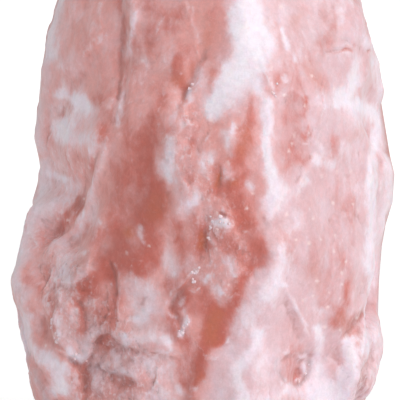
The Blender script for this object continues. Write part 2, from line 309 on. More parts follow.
amberFront = [
    # upper left
    (0.25, 2.6, [(-44.7, 164.8, 3.6), (-43.9, 153.9, 3.3), (-42.5, 144.4, 3.3), (-43.6, 141.1, 3.3),
        (-39.9, 135.6, 2.9)]),
    (0.5, 1.5, [(-48.3, 148.8, 1.5)]),
    (0.45, 1.8, [(-44.3, 129.8, 1.8), (-45.4, 127.6, 1.5)]),
    (0.5, 1.5, [(-39.6, 122.1, 1.5), (-38.1, 120.3, 1.5), (-39.9, 120.3, 1.1)]),
    (0.5, 1.1, [(-52, 115.9, 1.3)]),
    (0.5, 1.1, [(-48.3, 119.2, 1.1)]),
    (0.4, 1.5, [(-56, 111.6, 1.1), (-56, 105.7, 1.1)]),
    (0.5, 1.8, [(-45.4, 100.6, 1.8), (-42.5, 98.4, 1.8), (-41, 96.3, 1.5)]),
    (0.5, 1.5, [(-31.9, 163, 1.5), (-31.5, 155.7, 1.1), (-30.4, 153.1, 0.7)]),
    (0.55, 0.9, [(-29, 150.2, 1.1), (-29, 144.7, 1.1), (-29.4, 140, 0.9), (-29.4, 136.4, 0.9),
        (-29.4, 133.4, 0.7)]),
    (0.45, 0.7, [(-30.4, 131.3, 0.5), (-30.8, 126.9, 0.7), (-31.2, 124, 0.7), (-31.2, 121.4, 0.9)]),
    (0.4, 2.2, [(-22.8, 141.5, 2.2), (-19.9, 140.7, 2.2), (-19.9, 137.8, 1.5)]),
    (0.3, 2.6, [(-24.6, 132.7, 1.8), (-19.9, 125.4, 2.9), (-17, 125.4, 2.2)]),
    (0.3, 2.6, [(-36.3, 124.7, 2.9), (-34.5, 117.4, 2.9), (-37, 113, 2.2)]),
    (0.6, 1.5, [(-37.4, 110.8, 1.5), (-36.6, 108.7, 1.8), (-35.5, 107.2, 1.5)]),
    (0.4, 3.6, [(-28.6, 113.8, 3.6), (-27.2, 106.5, 4.4), (-30.8, 99.2, 3.6), (-33.7, 90.1, 3.3)]),
    # upper middle
    (0.75, 1.5, [(-10.4, 135.6, 1.8), (-10, 132, 2.2), (-8.9, 128.3, 2.6), (-7.5, 126.2, 1.5)]),
    (0.5, 1.5, [(-4.6, 133.4, 1.5), (-4.2, 130.5, 1.1)]),
    (0.6, 1.1, [(-7.1, 124, 1.1), (-7.5, 121.4, 0.7)]),
    (0.3, 2.2, [(-5.3, 138.5, 2.9), (-8.9, 140.7, 2.2)]),
    (0.35, 1.8, [(-8.6, 154.6, 1.8), (-9.7, 150.2, 2.2), (-11.8, 148, 2.2)]),
    (0.3, 1.5, [(4.2, 154.6, 1.1), (2.7, 152.4, 2.2)]),
    (0.5, 1.5, [(-14.4, 121.8, 1.8), (-15.1, 119.6, 1.5)]),
    (0.35, 2.2, [(-18.4, 117.4, 2.2), (-17, 113, 2.6), (-14, 110.8, 1.8)]),
    # the great red zone
    (0.7, 2.2, [(-19.1, 113.8, 1.8), (-19.9, 109.4, 2.9), (-20.6, 106.5, 3.6)]),
    (0.58, 3.6, [(-22.8, 102.8, 3.6), (-23.5, 97.3, 4.4), (-25.7, 93.7, 4.4)]),
    (0.7, 1.8, [(-19.9, 99.2, 1.8), (-19.9, 93.7, 2.2), (-19.1, 90.4, 2.9)]),
    (0.85, 2.6, [(-19.1, 88.2, 4.4), (-18, 84.6, 4.7), (-18.8, 80.2, 4.4)]),
    (0.58, 3.6, [(-25.3, 84.6, 3.6), (-30.1, 82.8, 4.4), (-33, 76.6, 3.3)]),
    (0.75, 2.9, [(-23.5, 76.6, 3.3), (-19.9, 71.8, 3.6), (-20.6, 66.4, 4.4)]),
    (0.8, 2.2, [(-32.6, 72.9, 2.9), (-30.1, 67.1, 3.6), (-35.2, 62, 3.3), (-27.2, 62, 4.4),
        (-22.8, 60.5, 3.3), (-19.1, 61.3, 2.6)]),
    (0.75, 1.8, [(-36.6, 59.1, 2.6), (-38.8, 56.9, 2.6), (-33.7, 56.9, 1.8)]),
    (0.65, 1.8, [(-41, 54, 1.8), (-42.5, 51.8, 2.2), (-39.6, 51, 2.2)]),
    (0.5, 2.2, [(-41.7, 72.2, 3.3), (-38.8, 70.7, 2.9)]),
    # left strip, foot and creases
    (0.7, 1.1, [(-44.7, 85.3, 1.1), (-45.4, 82.4, 1.5), (-47.6, 81.3, 1.5), (-49.4, 79.5, 1.5),
        (-50.5, 76.6, 1.5)]),
    (0.4, 1.3, [(-52, 75.1, 1.5), (-53.8, 72.2, 1.1)]),
    (0.5, 1.5, [(-46.9, 78.8, 1.5), (-48.3, 76.6, 1.5)]),
    (0.3, 2.2, [(-57.8, 59.8, 1.5), (-58.5, 56.9, 1.5)]),
    (0.6, 1.5, [(-46.1, 51.8, 2.2), (-43.2, 52.5, 2.2), (-46.9, 48.9, 1.8)]),
    (0.65, 1.5, [(-44.7, 45.2, 1.8), (-44.3, 40.8, 1.8), (-44.7, 37.2, 1.5)]),
    (0.5, 1.1, [(-46.1, 46.7, 1.5), (-44.7, 45.9, 1.1)]),
    (0.55, 1.1, [(-54.9, 49.2, 1.1), (-54.5, 45.9, 1.1), (-54.1, 42.7, 0.9)]),
    (0.5, 1.5, [(-57.4, 40.1, 2.2), (-57.8, 36.5, 2.2), (-56, 33.5, 1.8), (-53.4, 31.4, 1.8)]),
    (0.5, 1.1, [(-56.3, 42.3, 1.1), (-56, 37.2, 0.7)]),
    (0.6, 1.1, [(-35.2, 59.1, 1.1), (-33.4, 56.1, 1.1), (-32.3, 53.2, 0.7)]),
    (0.45, 1.8, [(-33.4, 51, 1.5), (-33.7, 46.7, 2.2), (-33, 41.6, 2.2)]),
    (0.35, 2.2, [(-37, 42.7, 2.6)]),
    (0.5, 1.3, [(-35.2, 35.4, 0.7), (-37, 33.5, 1.8), (-36.3, 31, 2.2), (-33.7, 31.4, 1.5)]),
    (0.42, 1.3, [(-40.3, 29.2, 1.5), (-41, 26.3, 1.1), (-43.6, 24.1, 1.5), (-43.9, 21.1, 1.1)]),
    (0.5, 1.3, [(-42.5, 21.9, 1.1), (-42.8, 17.5, 1.8), (-43.6, 13.1, 1.8), (-43.6, 2.6, 1.8)]),
    (0.4, 1.1, [(-47.6, 24.8, 1.5), (-48.3, 23.3, 1.1)]),
    (0.4, 1.5, [(-33.4, 19.7, 1.1), (-31.5, 18.2, 1.8), (-29.4, 17.5, 2.2), (-26.8, 19, 1.5),
        (-27.2, 16.8, 1.1)]),
    (0.4, 1.1, [(-29.4, 25.5, 1.5), (-27.2, 26.3, 1.1)]),
    # slits and dots of the middle
    (0.4, 1.5, [(-28.6, 29.9, 1.1), (-25, 29.2, 1.5), (-22.4, 28.4, 1.1)]),
    (0.7, 0.5, [(-22.4, 48.5, 0.4), (-22.6, 47.4, 0.7)]),
    (0.4, 1.8, [(-66.9, 47.4, 1.1), (-65.8, 51.8, 1.8), (-64.4, 55.4, 1.8), (-58.5, 49.6, 2.2)]),
    (0.75, 1.5, [(5.3, 97, 1.1), (4.6, 93, 1.8), (3.8, 88.2, 1.8)]),
    (0.8, 1.3, [(10.4, 91.5, 1.5), (10, 89, 1.5)]),
    (0.4, 1.5, [(10, 99.2, 1.8), (10.8, 96.3, 1.8)]),
    (0.7, 1.5, [(0.2, 73.3, 0.7), (-0.5, 70.4, 1.5), (-0.2, 67.1, 1.6)]),
    (0.5, 1.1, [(1.6, 67.8, 1.1)]),
    (0.6, 0.7, [(-8.6, 76.6, 0.7), (-8.9, 74.4, 0.7)]),
    (0.6, 0.7, [(-10.4, 71.1, 0.7), (-10.8, 70.4, 0.5)]),
    (0.4, 0.7, [(-8.2, 88.6, 0.7), (-8.9, 87.9, 0.5)]),
    # the curved red band
    (0.75, 1.8, [(7.1, 87.9, 2.2), (10, 86.4, 2.6), (12.2, 84.6, 2.9), (13.7, 80.9, 3.3),
        (15.1, 77.3, 2.9)]),
    (0.75, 1.8, [(12.9, 76.6, 2.6), (15.9, 74.4, 3.6), (18, 70.7, 4), (19.1, 67.1, 3.3)]),
    (0.7, 1.8, [(18.4, 66.4, 2.9), (18.8, 62, 3.3), (21.7, 62, 1.8)]),
    (0.6, 0.7, [(21, 79.5, 0.7), (21.3, 78, 0.7)]),
    (0.35, 1.5, [(17.3, 86, 1.5), (18.8, 82.4, 1.1)]),
    (0.6, 1.5, [(13.7, 92.6, 1.5), (13.7, 89.7, 1.5)]),
    (0.8, 1.5, [(16.6, 58.3, 1.8), (14, 55.4, 1.5), (13.3, 52.5, 1.8), (12.2, 48.9, 1.8), (10, 45.9, 2.2),
        (7.5, 43.8, 2.2)]),
    (0.62, 2.2, [(9.7, 80.2, 1.8), (7.8, 71.5, 2.6), (11.1, 66.4, 3.3), (13.7, 62, 2.2)]),
    (0.55, 1.5, [(17, 121, 1.1), (17.3, 118.1, 1.5), (17.3, 115.9, 1.5)]),
    (0.75, 1.5, [(16.6, 112.3, 1.8), (14.4, 110.1, 1.5), (15.9, 107.9, 1.5)]),
    # above the picture
    (0.6, 2.6, [(2.7, 172.1, 2.2), (-3.1, 181.6, 2.9), (-0.2, 192.5, 2.2), (6.4, 202.7, 1.8)]),
    (0.5, 2.6, [(28.3, 173.5, 2.2), (33.4, 183.8, 2.9), (31.2, 192.5, 1.8)]),
    (0.45, 2.6, [(-30.8, 173.5, 2.2), (-25, 183, 2.2)]),
    # middle
    (0.65, 1.8, [(15.5, 105, 2.2), (14.4, 102.1, 2.2), (13.7, 99.2, 1.8)]),
    (0.5, 1.8, [(16.6, 96.3, 1.5), (17.3, 93.3, 1.5)]),
    (0.5, 1.8, [(-3.8, 111.6, 1.5), (-4.6, 107.2, 1.5), (-4.6, 103.5, 1.5)]),
    (0.45, 1.8, [(-11.8, 108.7, 2.2)]),
    (0.5, 1.8, [(-6.4, 102.1, 1.5), (-6.4, 96.3, 1.8), (-5.3, 91.9, 1.5)]),
    (0.6, 2.6, [(-3.1, 76.6, 2.6), (-1.6, 71.5, 2.6), (-2.4, 65.6, 2.2)]),
    (0.6, 2.6, [(-11.8, 77.3, 1.5), (-9.7, 72.9, 2.2), (-7.5, 67.8, 2.6), (-6.7, 62, 2.6),
        (-11.1, 57.6, 1.8), (-13.3, 53.2, 2.2)]),
    (0.5, 3.3, [(-21.3, 164.8, 3.3), (-21.3, 154.6, 3.3), (-16.2, 152.4, 3.3), (-11.8, 149.5, 2.2),
        (-20.6, 145.8, 1.8)]),
    (0.3, 1.8, [(3.5, 111.6, 1.8), (2.7, 107.2, 1.8)]),
    (0.5, 1.5, [(-6.4, 45.9, 1.5), (-5.3, 43, 1.5)]),
    (0.9, 1.1, [(-7.5, 51.8, 1.5), (-7.5, 48.9, 2.6), (-9.7, 46.7, 2.6), (-11.1, 45.2, 1.8),
        (-10.4, 42.3, 1.8), (-9.3, 40.1, 1.1)]),
    (0.4, 1.8, [(-8.9, 54, 2.2)]),
    (0.75, 2.2, [(-13.3, 41.6, 1.8), (-11.8, 37.2, 2.6), (-7.5, 34.3, 2.6)]),
    (0.35, 2.2, [(-5.3, 54, 1.8), (-3.1, 54.7, 1.5), (-4.6, 49.6, 1.5), (-0.9, 47.4, 1.8),
        (-3.8, 45.2, 1.8)]),
    (0.5, 2.2, [(0.2, 51, 2.6), (0.5, 45.9, 2.9)]),
    # foot
    (0.85, 1.5, [(3.8, 43.8, 2.9), (2.7, 40.1, 3.6), (2, 35.7, 3.3), (4.2, 34.3, 2.9), (1.3, 32.8, 2.6)]),
    (0.6, 1.8, [(7.1, 37.2, 2.2), (7.8, 40.1, 1.8)]),
    (0.85, 1.5, [(0.2, 29.9, 1.1), (-0.9, 27.7, 1.5), (-2, 24.8, 2.2), (-3.1, 21.1, 2.6), (-5.3, 18.2, 2.6),
        (-7.5, 17.5, 1.5)]),
    (0.55, 1.8, [(-5.3, 28.1, 2.6), (-6.7, 24.4, 2.6), (-8.2, 21.9, 2.2)]),
    (0.45, 1.8, [(-5.3, 32.1, 2.2)]),
    (0.6, 1.8, [(-5.3, 13.5, 2.2), (-6.7, 2.6, 2.6)]),
    # the oval and round it
    (0.35, 2.2, [(31.2, 118.9, 2.2), (31.5, 115.9, 2.6)]),
    (0.65, 1.1, [(36.6, 121, 0.9), (37, 118.1, 1.1), (36.3, 115.2, 1.1)]),
    (0.5, 2.2, [(32.6, 112.3, 2.9), (33.4, 108.7, 3.3), (31.9, 105, 2.9)]),
    (0.5, 0.7, [(38.1, 110.8, 0.7), (38.1, 108.7, 0.7)]),
    (0.45, 1.5, [(35.9, 106.5, 1.5), (35.9, 102.8, 1.5)]),
    (0.5, 1.8, [(30.4, 102.1, 2.6), (31.5, 99.9, 2.2), (30.8, 97, 2.2)]),
    (0.5, 1.3, [(34.8, 99.2, 1.8), (36.6, 98.4, 1.5), (39.2, 99.9, 0.7)]),
    (0.55, 1.8, [(27.5, 129.8, 1.5), (26.8, 127.6, 1.5), (26.4, 125.4, 1.1)]),
    (0.5, 1.8, [(31.2, 126.9, 1.8), (31.2, 123.2, 1.8)]),
    (0.35, 1.1, [(29.7, 136.4, 1.1), (30.1, 134.2, 1.1)]),
    # right
    (0.4, 1.1, [(23.9, 124, 1.1)]),
    (0.38, 2.6, [(40.7, 141.5, 2.2), (39.9, 137.1, 2.6), (37.7, 134.2, 2.2), (35.5, 135.6, 1.5)]),
    (0.35, 1.8, [(39.9, 129.1, 1.8), (43.6, 126.2, 1.8)]),
    (0.2, 2.6, [(-56.3, 64.2, 2.2), (-57.1, 60.5, 2.2)]),
    (0.4, 1.5, [(45, 139.3, 1.5), (45, 142.2, 1.8), (43.6, 141.5, 1.5)]),
    (0.35, 1.5, [(46.1, 145.1, 1.5), (47.2, 147.3, 1.1)]),
    (0.25, 1.8, [(54.5, 153.1, 1.5), (53, 150.9, 1.8)]),
    (0.25, 1.5, [(47.2, 154.6, 1.5), (45.8, 152.4, 1.5)]),
    (0.5, 0.4, [(47.6, 138.9, 0.4), (50.9, 139.6, 0.5), (53.8, 138.9, 0.4)]),
    (0.4, 0.7, [(54.9, 140.7, 0.9)]),
    (0.5, 0.5, [(60, 138.9, 0.5)]),
    (0.15, 1.5, [(61.4, 129.8, 1.5), (61.8, 125.4, 1.5)]),
    (0.5, 1.3, [(47.6, 106.5, 1.5), (47.9, 102.8, 1.5), (47.2, 100.6, 1.1)]),
    (0.2, 1.8, [(55.2, 93.3, 1.8), (53.8, 94.8, 1.8), (52.3, 91.9, 2.2)]),
    (0.28, 1.8, [(53.8, 86.4, 1.1), (53, 84.6, 1.1), (52.3, 76.6, 2.2), (53.4, 73.6, 1.8), (53, 68.9, 2.2),
        (51.2, 65.6, 2.6)]),
    (0.3, 1.8, [(29.4, 71.5, 2.2), (27.5, 72.9, 1.8)]),
    (0.3, 2.2, [(31.2, 67.1, 2.2), (31.9, 61.3, 2.2)]),
    (0.08, 2.6, [(39.2, 58.3, 2.6), (38.5, 53.6, 2.2)]),
    (0.3, 1.8, [(50.5, 62, 1.8), (53, 59.1, 2.2), (53.8, 55.4, 1.8)]),
    # low on the right
    (0.6, 1.8, [(52, 52.5, 1.8), (51.6, 49.6, 1.8), (52.3, 47.4, 1.8)]),
    (0.6, 1.6, [(49.8, 43.8, 1.5), (48.3, 45.2, 1.5), (50.9, 40.1, 2.9), (47.9, 40.1, 2.2), (53, 40.1, 1.8),
        (51.6, 35.7, 1.5)]),
    (0.5, 0.9, [(54.5, 40.8, 1.5), (56.7, 42.7, 0.9), (58.2, 45.2, 0.7), (60, 47, 0.7)]),
    (0.17, 2.2, [(31.2, 38.6, 2.9), (32.6, 32.1, 3.3), (30.4, 30.6, 2.6)]),
    (0.27, 1.1, [(29.7, 25.9, 2.6), (30.1, 23, 2.9), (30.8, 20.1, 2.2)]),
    (0.2, 1.1, [(34.8, 26.3, 1.5), (36.3, 23.3, 1.5)]),
    (0.5, 0.9, [(33.4, 23.7, 0.7), (33.9, 22.2, 1.1), (33.7, 20.8, 1.1)]),
    (0.4, 1.1, [(37, 19.7, 1.1)]),
    (0.2, 1.1, [(34.1, 29.9, 2.2)]),
    (0.22, 1.5, [(59.2, 26.3, 1.5), (58.5, 21.9, 1.8), (57.4, 16.8, 2.2), (56, 13.1, 2.2),
        (54.5, 4.4, 2.2)]),
    (0.4, 1.1, [(54.9, 36.5, 1.1), (56.3, 32.1, 0.9)]),
]
amber = {
    "front": amberFront,
    "right": [
        (0.55, 1.5, [(12, 165, 6), (16, 130, 10), (12, 95, 9), (14, 60, 7)]),
        (0.6, 1.5, [(36, 104, 4), (38, 80, 8), (36, 50, 8), (40, 22, 9)]),
        (0.5, 1.5, [(5, 48, 4), (10, 30, 6), (4, 14, 5)]),
    ],
    "back": [
        (0.8, 0.8, [(-12, 122, 0.8), (-4, 104, 1.5), (-9, 84, 0.8)]),
        (0.7, 0.8, [(40, 72, 0.8), (47, 52, 1.4), (44, 30, 0.8)]),
        (0.75, 1, [(-34, 40, 1), (-28, 28, 2), (-33, 12, 1)]),
        (0.7, 0.8, [(20, 172, 0.8), (24, 158, 1.4), (20, 146, 0.7)]),
        (0.7, 1, [(-58, 136, 1.2), (-54, 122, 2.2), (-57, 110, 1)]),
        (0.8, 2.5, [(15, 120, 4), (6, 104, 8), (-6, 84, 9), (-2, 62, 6), (10, 44, 9), (6, 22, 6),
            (-6, 6, 4)]),
        (0.75, 2, [(34, 162, 4), (44, 148, 8), (56, 124, 8), (62, 100, 5)]),
        (0.7, 2, [(-46, 92, 6), (-48, 62, 9), (-44, 30, 9), (-50, 8, 8)]),
        (0.45, 2.5, [(-24, 172, 6), (-30, 150, 7), (-26, 136, 4)]),
        (0.4, 2, [(10, 188, 4), (18, 170, 5)]),
        (0.5, 1.5, [(44, 84, 4), (38, 76, 5)]),
        (0.5, 2, [(52, 30, 6), (50, 12, 7)]),
    ],
    "left": [
        (0.7, 1.5, [(0, 170, 7), (-4, 140, 8), (2, 115, 5)]),
        (0.75, 1.5, [(-10, 85, 8), (-14, 60, 9)]),
        (0.5, 1.5, [(26, 60, 6), (24, 35, 7)]),
        (0.65, 2, [(-40, 152, 6), (-44, 122, 8), (-38, 100, 5)]),
        (0.6, 2, [(-34, 46, 7), (-40, 22, 9)]),
    ],
}
paleFront = [
    (1.0, 9.5, [(46.5, 179.4, 22.6), (46.5, 135.6, 22.6), (47.2, 91.9, 21.9), (45, 51.8, 22.6),
        (36.6, 26.3, 28.4), (34.8, -2.9, 31)]),
    (0.7, 5.8, [(14.8, 172.1, 8), (14, 142.9, 8), (8.6, 122.9, 5.1)]),
    (0.4, 5.1, [(-19.9, 48.1, 3.6), (-20.6, 29.9, 7.3), (-19.9, 11.7, 9.5)]),
    (0.2, 4.4, [(-5.3, 106.5, 3.6), (-5.3, 97.3, 5.1), (-7.1, 88.2, 3.6)]),
    (0.9, 4.4, [(23.2, 59.1, 3.6), (18.8, 44.5, 6.6), (16.6, 29.9, 9.5), (14.8, 11.7, 12.4)]),
]
pale = {
    "front": paleFront,
    "right": [
        (0.9, 10, [(-10, 200, 30), (0, 100, 30), (0, 0, 32)]),
    ],
    "back": [
        (0.7, 18, [(-50, 200, 18), (-54, 100, 16), (-50, 0, 20)]),
        (0.4, 15, [(35, 60, 18), (30, 10, 22)]),
    ],
    "left": [],
}
frostFront = [
    # left rim and foot
    (0.9, 1.8, [(-52, 168.4, 2.6), (-53.4, 157.5, 2.2), (-54.1, 153.9, 2.2), (-56, 148.4, 2.2),
        (-57.1, 142.9, 2.2), (-57.1, 137.1, 2.2)]),
    (0.6, 1.8, [(-57.8, 137.5, 1.1), (-58.5, 132, 1.1), (-59.6, 124.7, 1.1), (-60, 117.4, 1.1),
        (-60.7, 110.1, 1.5), (-60, 102.8, 1.5)]),
    (0.4, 2.2, [(-50.5, 148.4, 1.8), (-51.2, 141.1, 2.2), (-51.2, 135.6, 2.2)]),
    (0.85, 1.8, [(-58.2, 97.3, 1.5), (-59.2, 91.9, 1.8), (-60, 84.6, 1.8), (-62.2, 79.1, 1.8),
        (-64.4, 73.6, 1.8), (-66.5, 68.2, 1.8), (-67.3, 64.5, 1.8)]),
    (0.55, 2.2, [(-56.3, 88.2, 2.9), (-55.6, 82.8, 2.6), (-57.8, 80.9, 2.9)]),
    (0.9, 1.8, [(-67.3, 64.5, 1.8), (-68.7, 59.1, 1.8), (-69.5, 54.7, 1.8), (-68, 51.8, 1.5)]),
    (0.85, 1.8, [(-65.8, 49.6, 1.8), (-67.6, 43, 1.8), (-66.5, 35.7, 2.2), (-64.4, 29.2, 2.2)]),
    (0.45, 2.6, [(-25.7, 38.6, 2.2), (-22.8, 35, 2.6), (-19.9, 35.7, 1.8)]),
    (0.45, 5.1, [(-52, 128.3, 5.1), (-51.2, 117.4, 5.8), (-52, 102.8, 5.8), (-52, 97.3, 5.1)]),
    (0.45, 1.8, [(-51.2, 67.8, 1.8), (-51.6, 62.7, 2.2), (-50.5, 57.6, 2.2)]),
    (0.4, 1.8, [(-52.7, 48.1, 1.5), (-52.7, 43.8, 1.8), (-52, 38.6, 2.2), (-49, 34.3, 2.9),
        (-43.9, 31.4, 2.2)]),
    (0.45, 1.5, [(-41, 41.6, 1.8), (-40.3, 37.9, 1.8)]),
    (0.45, 1.8, [(-39.2, 21.9, 2.6), (-38.1, 17.5, 2.6)]),
    (0.15, 2.6, [(-60, 48.1, 2.9), (-60, 40.8, 1.8)]),
    (0.6, 1.8, [(-61.4, 21.9, 1.1), (-60, 17.1, 1.5), (-57.8, 12.4, 1.8), (-56.3, 2.6, 2.2)]),
    # middle and right rim
    (0.4, 2.6, [(-32.6, 150.2, 2.6), (-33.4, 142.9, 2.6), (-34.8, 134.9, 2.2), (-33.7, 128.3, 2.2)]),
    (0.5, 2.6, [(-57.8, 78.8, 2.2), (-61.4, 71.5, 2.6), (-63.6, 64.2, 2.6)]),
    (0.28, 1.8, [(-35.9, 104.3, 1.8), (-36.6, 98.4, 1.5), (-38.8, 91.9, 1.1), (-41, 84.6, 1.1),
        (-41.7, 79.5, 2.2)]),
    (0.8, 1.5, [(58.9, 142.9, 1.1), (61.1, 137.5, 1.1), (63.3, 130.2, 1.5), (65.1, 121, 1.5),
        (66.2, 113.8, 1.5)]),
    (0.9, 1.8, [(66.2, 106.5, 1.5), (66.9, 99.2, 1.5), (68.4, 91.9, 1.5), (68, 84.6, 1.5),
        (66.5, 77.3, 1.5), (64.7, 70, 1.1), (63.6, 64.5, 0.7)]),
    (0.5, 1.5, [(63.3, 51.8, 0.7), (62.9, 44.5, 1.1), (64.4, 37.2, 1.5), (64.7, 30.6, 1.5)]),
    (0.5, 1.8, [(62.5, 25.5, 1.8), (61.1, 19, 1.8)]),
    (0.4, 1.8, [(-12.9, 64.2, 1.5), (-11.1, 59.1, 2.2)]),
    (0.4, 1.8, [(7.8, 108.7, 2.2), (9.3, 103.5, 1.8)]),
]
frost = {
    "front": frostFront,
    "right": [
        (0.4, 8, [(-24, 150, 8), (-26, 80, 8), (-24, 20, 10)]),
    ],
    "back": [
        (0.4, 10, [(60, 160, 10), (62, 90, 12), (60, 20, 12)]),
    ],
    "left": [
        (0.6, 8, [(10, 180, 14), (14, 100, 12), (12, 30, 16)]),
    ],
}
orangeFront = [
    (0.35, 2.6, [(0.9, 144.7, 2.6), (2.7, 142.9, 2.2), (0.5, 141.5, 2.2)]),
    (0.35, 2.2, [(2.4, 135.6, 1.8), (3.5, 133.4, 1.8), (2.4, 130.5, 1.5)]),
    (0.3, 3.3, [(-1.6, 152.4, 3.3), (2.7, 149.5, 3.3)]),
    (0.4, 1.8, [(-4.2, 132.7, 1.5), (-10, 126.9, 1.8)]),
    (0.7, 1.5, [(-27.5, 72.9, 1.8)]),
    (0.5, 2.6, [(-17, 82.8, 3.6), (-18.4, 79.5, 2.9)]),
    (0.9, 0.9, [(5.3, 94.1, 0.7), (4.6, 90.4, 1.1)]),
    (0.5, 1.1, [(10.8, 90.4, 1.5)]),
    (0.9, 0.9, [(-0.2, 71.8, 0.7), (-0.5, 68.2, 1.5)]),
    (0.5, 1.8, [(15.5, 110.1, 1.8), (14.4, 102.1, 2.2)]),
    (0.6, 1.8, [(3.8, 42.3, 2.6), (2, 37.2, 2.6), (3.1, 33.5, 2.2)]),
    (0.25, 2.6, [(33.4, 148.8, 2.6), (34.8, 152, 2.2)]),
    (0.3, 2.2, [(37.7, 134.9, 2.2), (42.1, 126.2, 2.2)]),
    (0.3, 1.8, [(55.6, 112.3, 1.5), (55.6, 108.7, 2.6), (53.8, 107.9, 1.8)]),
    (0.5, 1.8, [(50.9, 40.1, 2.9), (51.6, 35.7, 1.5)]),
    (0.22, 1.8, [(47.2, 31.7, 1.8), (47.2, 27.7, 1.8), (46.5, 24.1, 1.8), (48.7, 21.9, 1.8)]),
    (0.25, 2.9, [(39.9, 59.1, 3.3), (41.4, 51.8, 2.9)]),
    (0.15, 1.1, [(33.7, 21.5, 1.1)]),
    (0.25, 2.2, [(-57.8, 58.3, 2.2)]),
    (0.3, 2.2, [(-3.1, 20.4, 2.6)]),
]
orange = {
    "front": orangeFront,
    "right": [
        (0.4, 2.5, [(14, 130, 8), (12, 100, 7)]),
    ],
    "back": [
        (0.6, 2, [(48, 142, 6), (56, 126, 6)]),
        (0.6, 2, [(0, 94, 6), (-5, 78, 5)]),
    ],
    "left": [
        (0.6, 2, [(-12, 75, 6), (-14, 60, 6)]),
        (0.5, 2, [(-43, 124, 6)]),
    ],
}
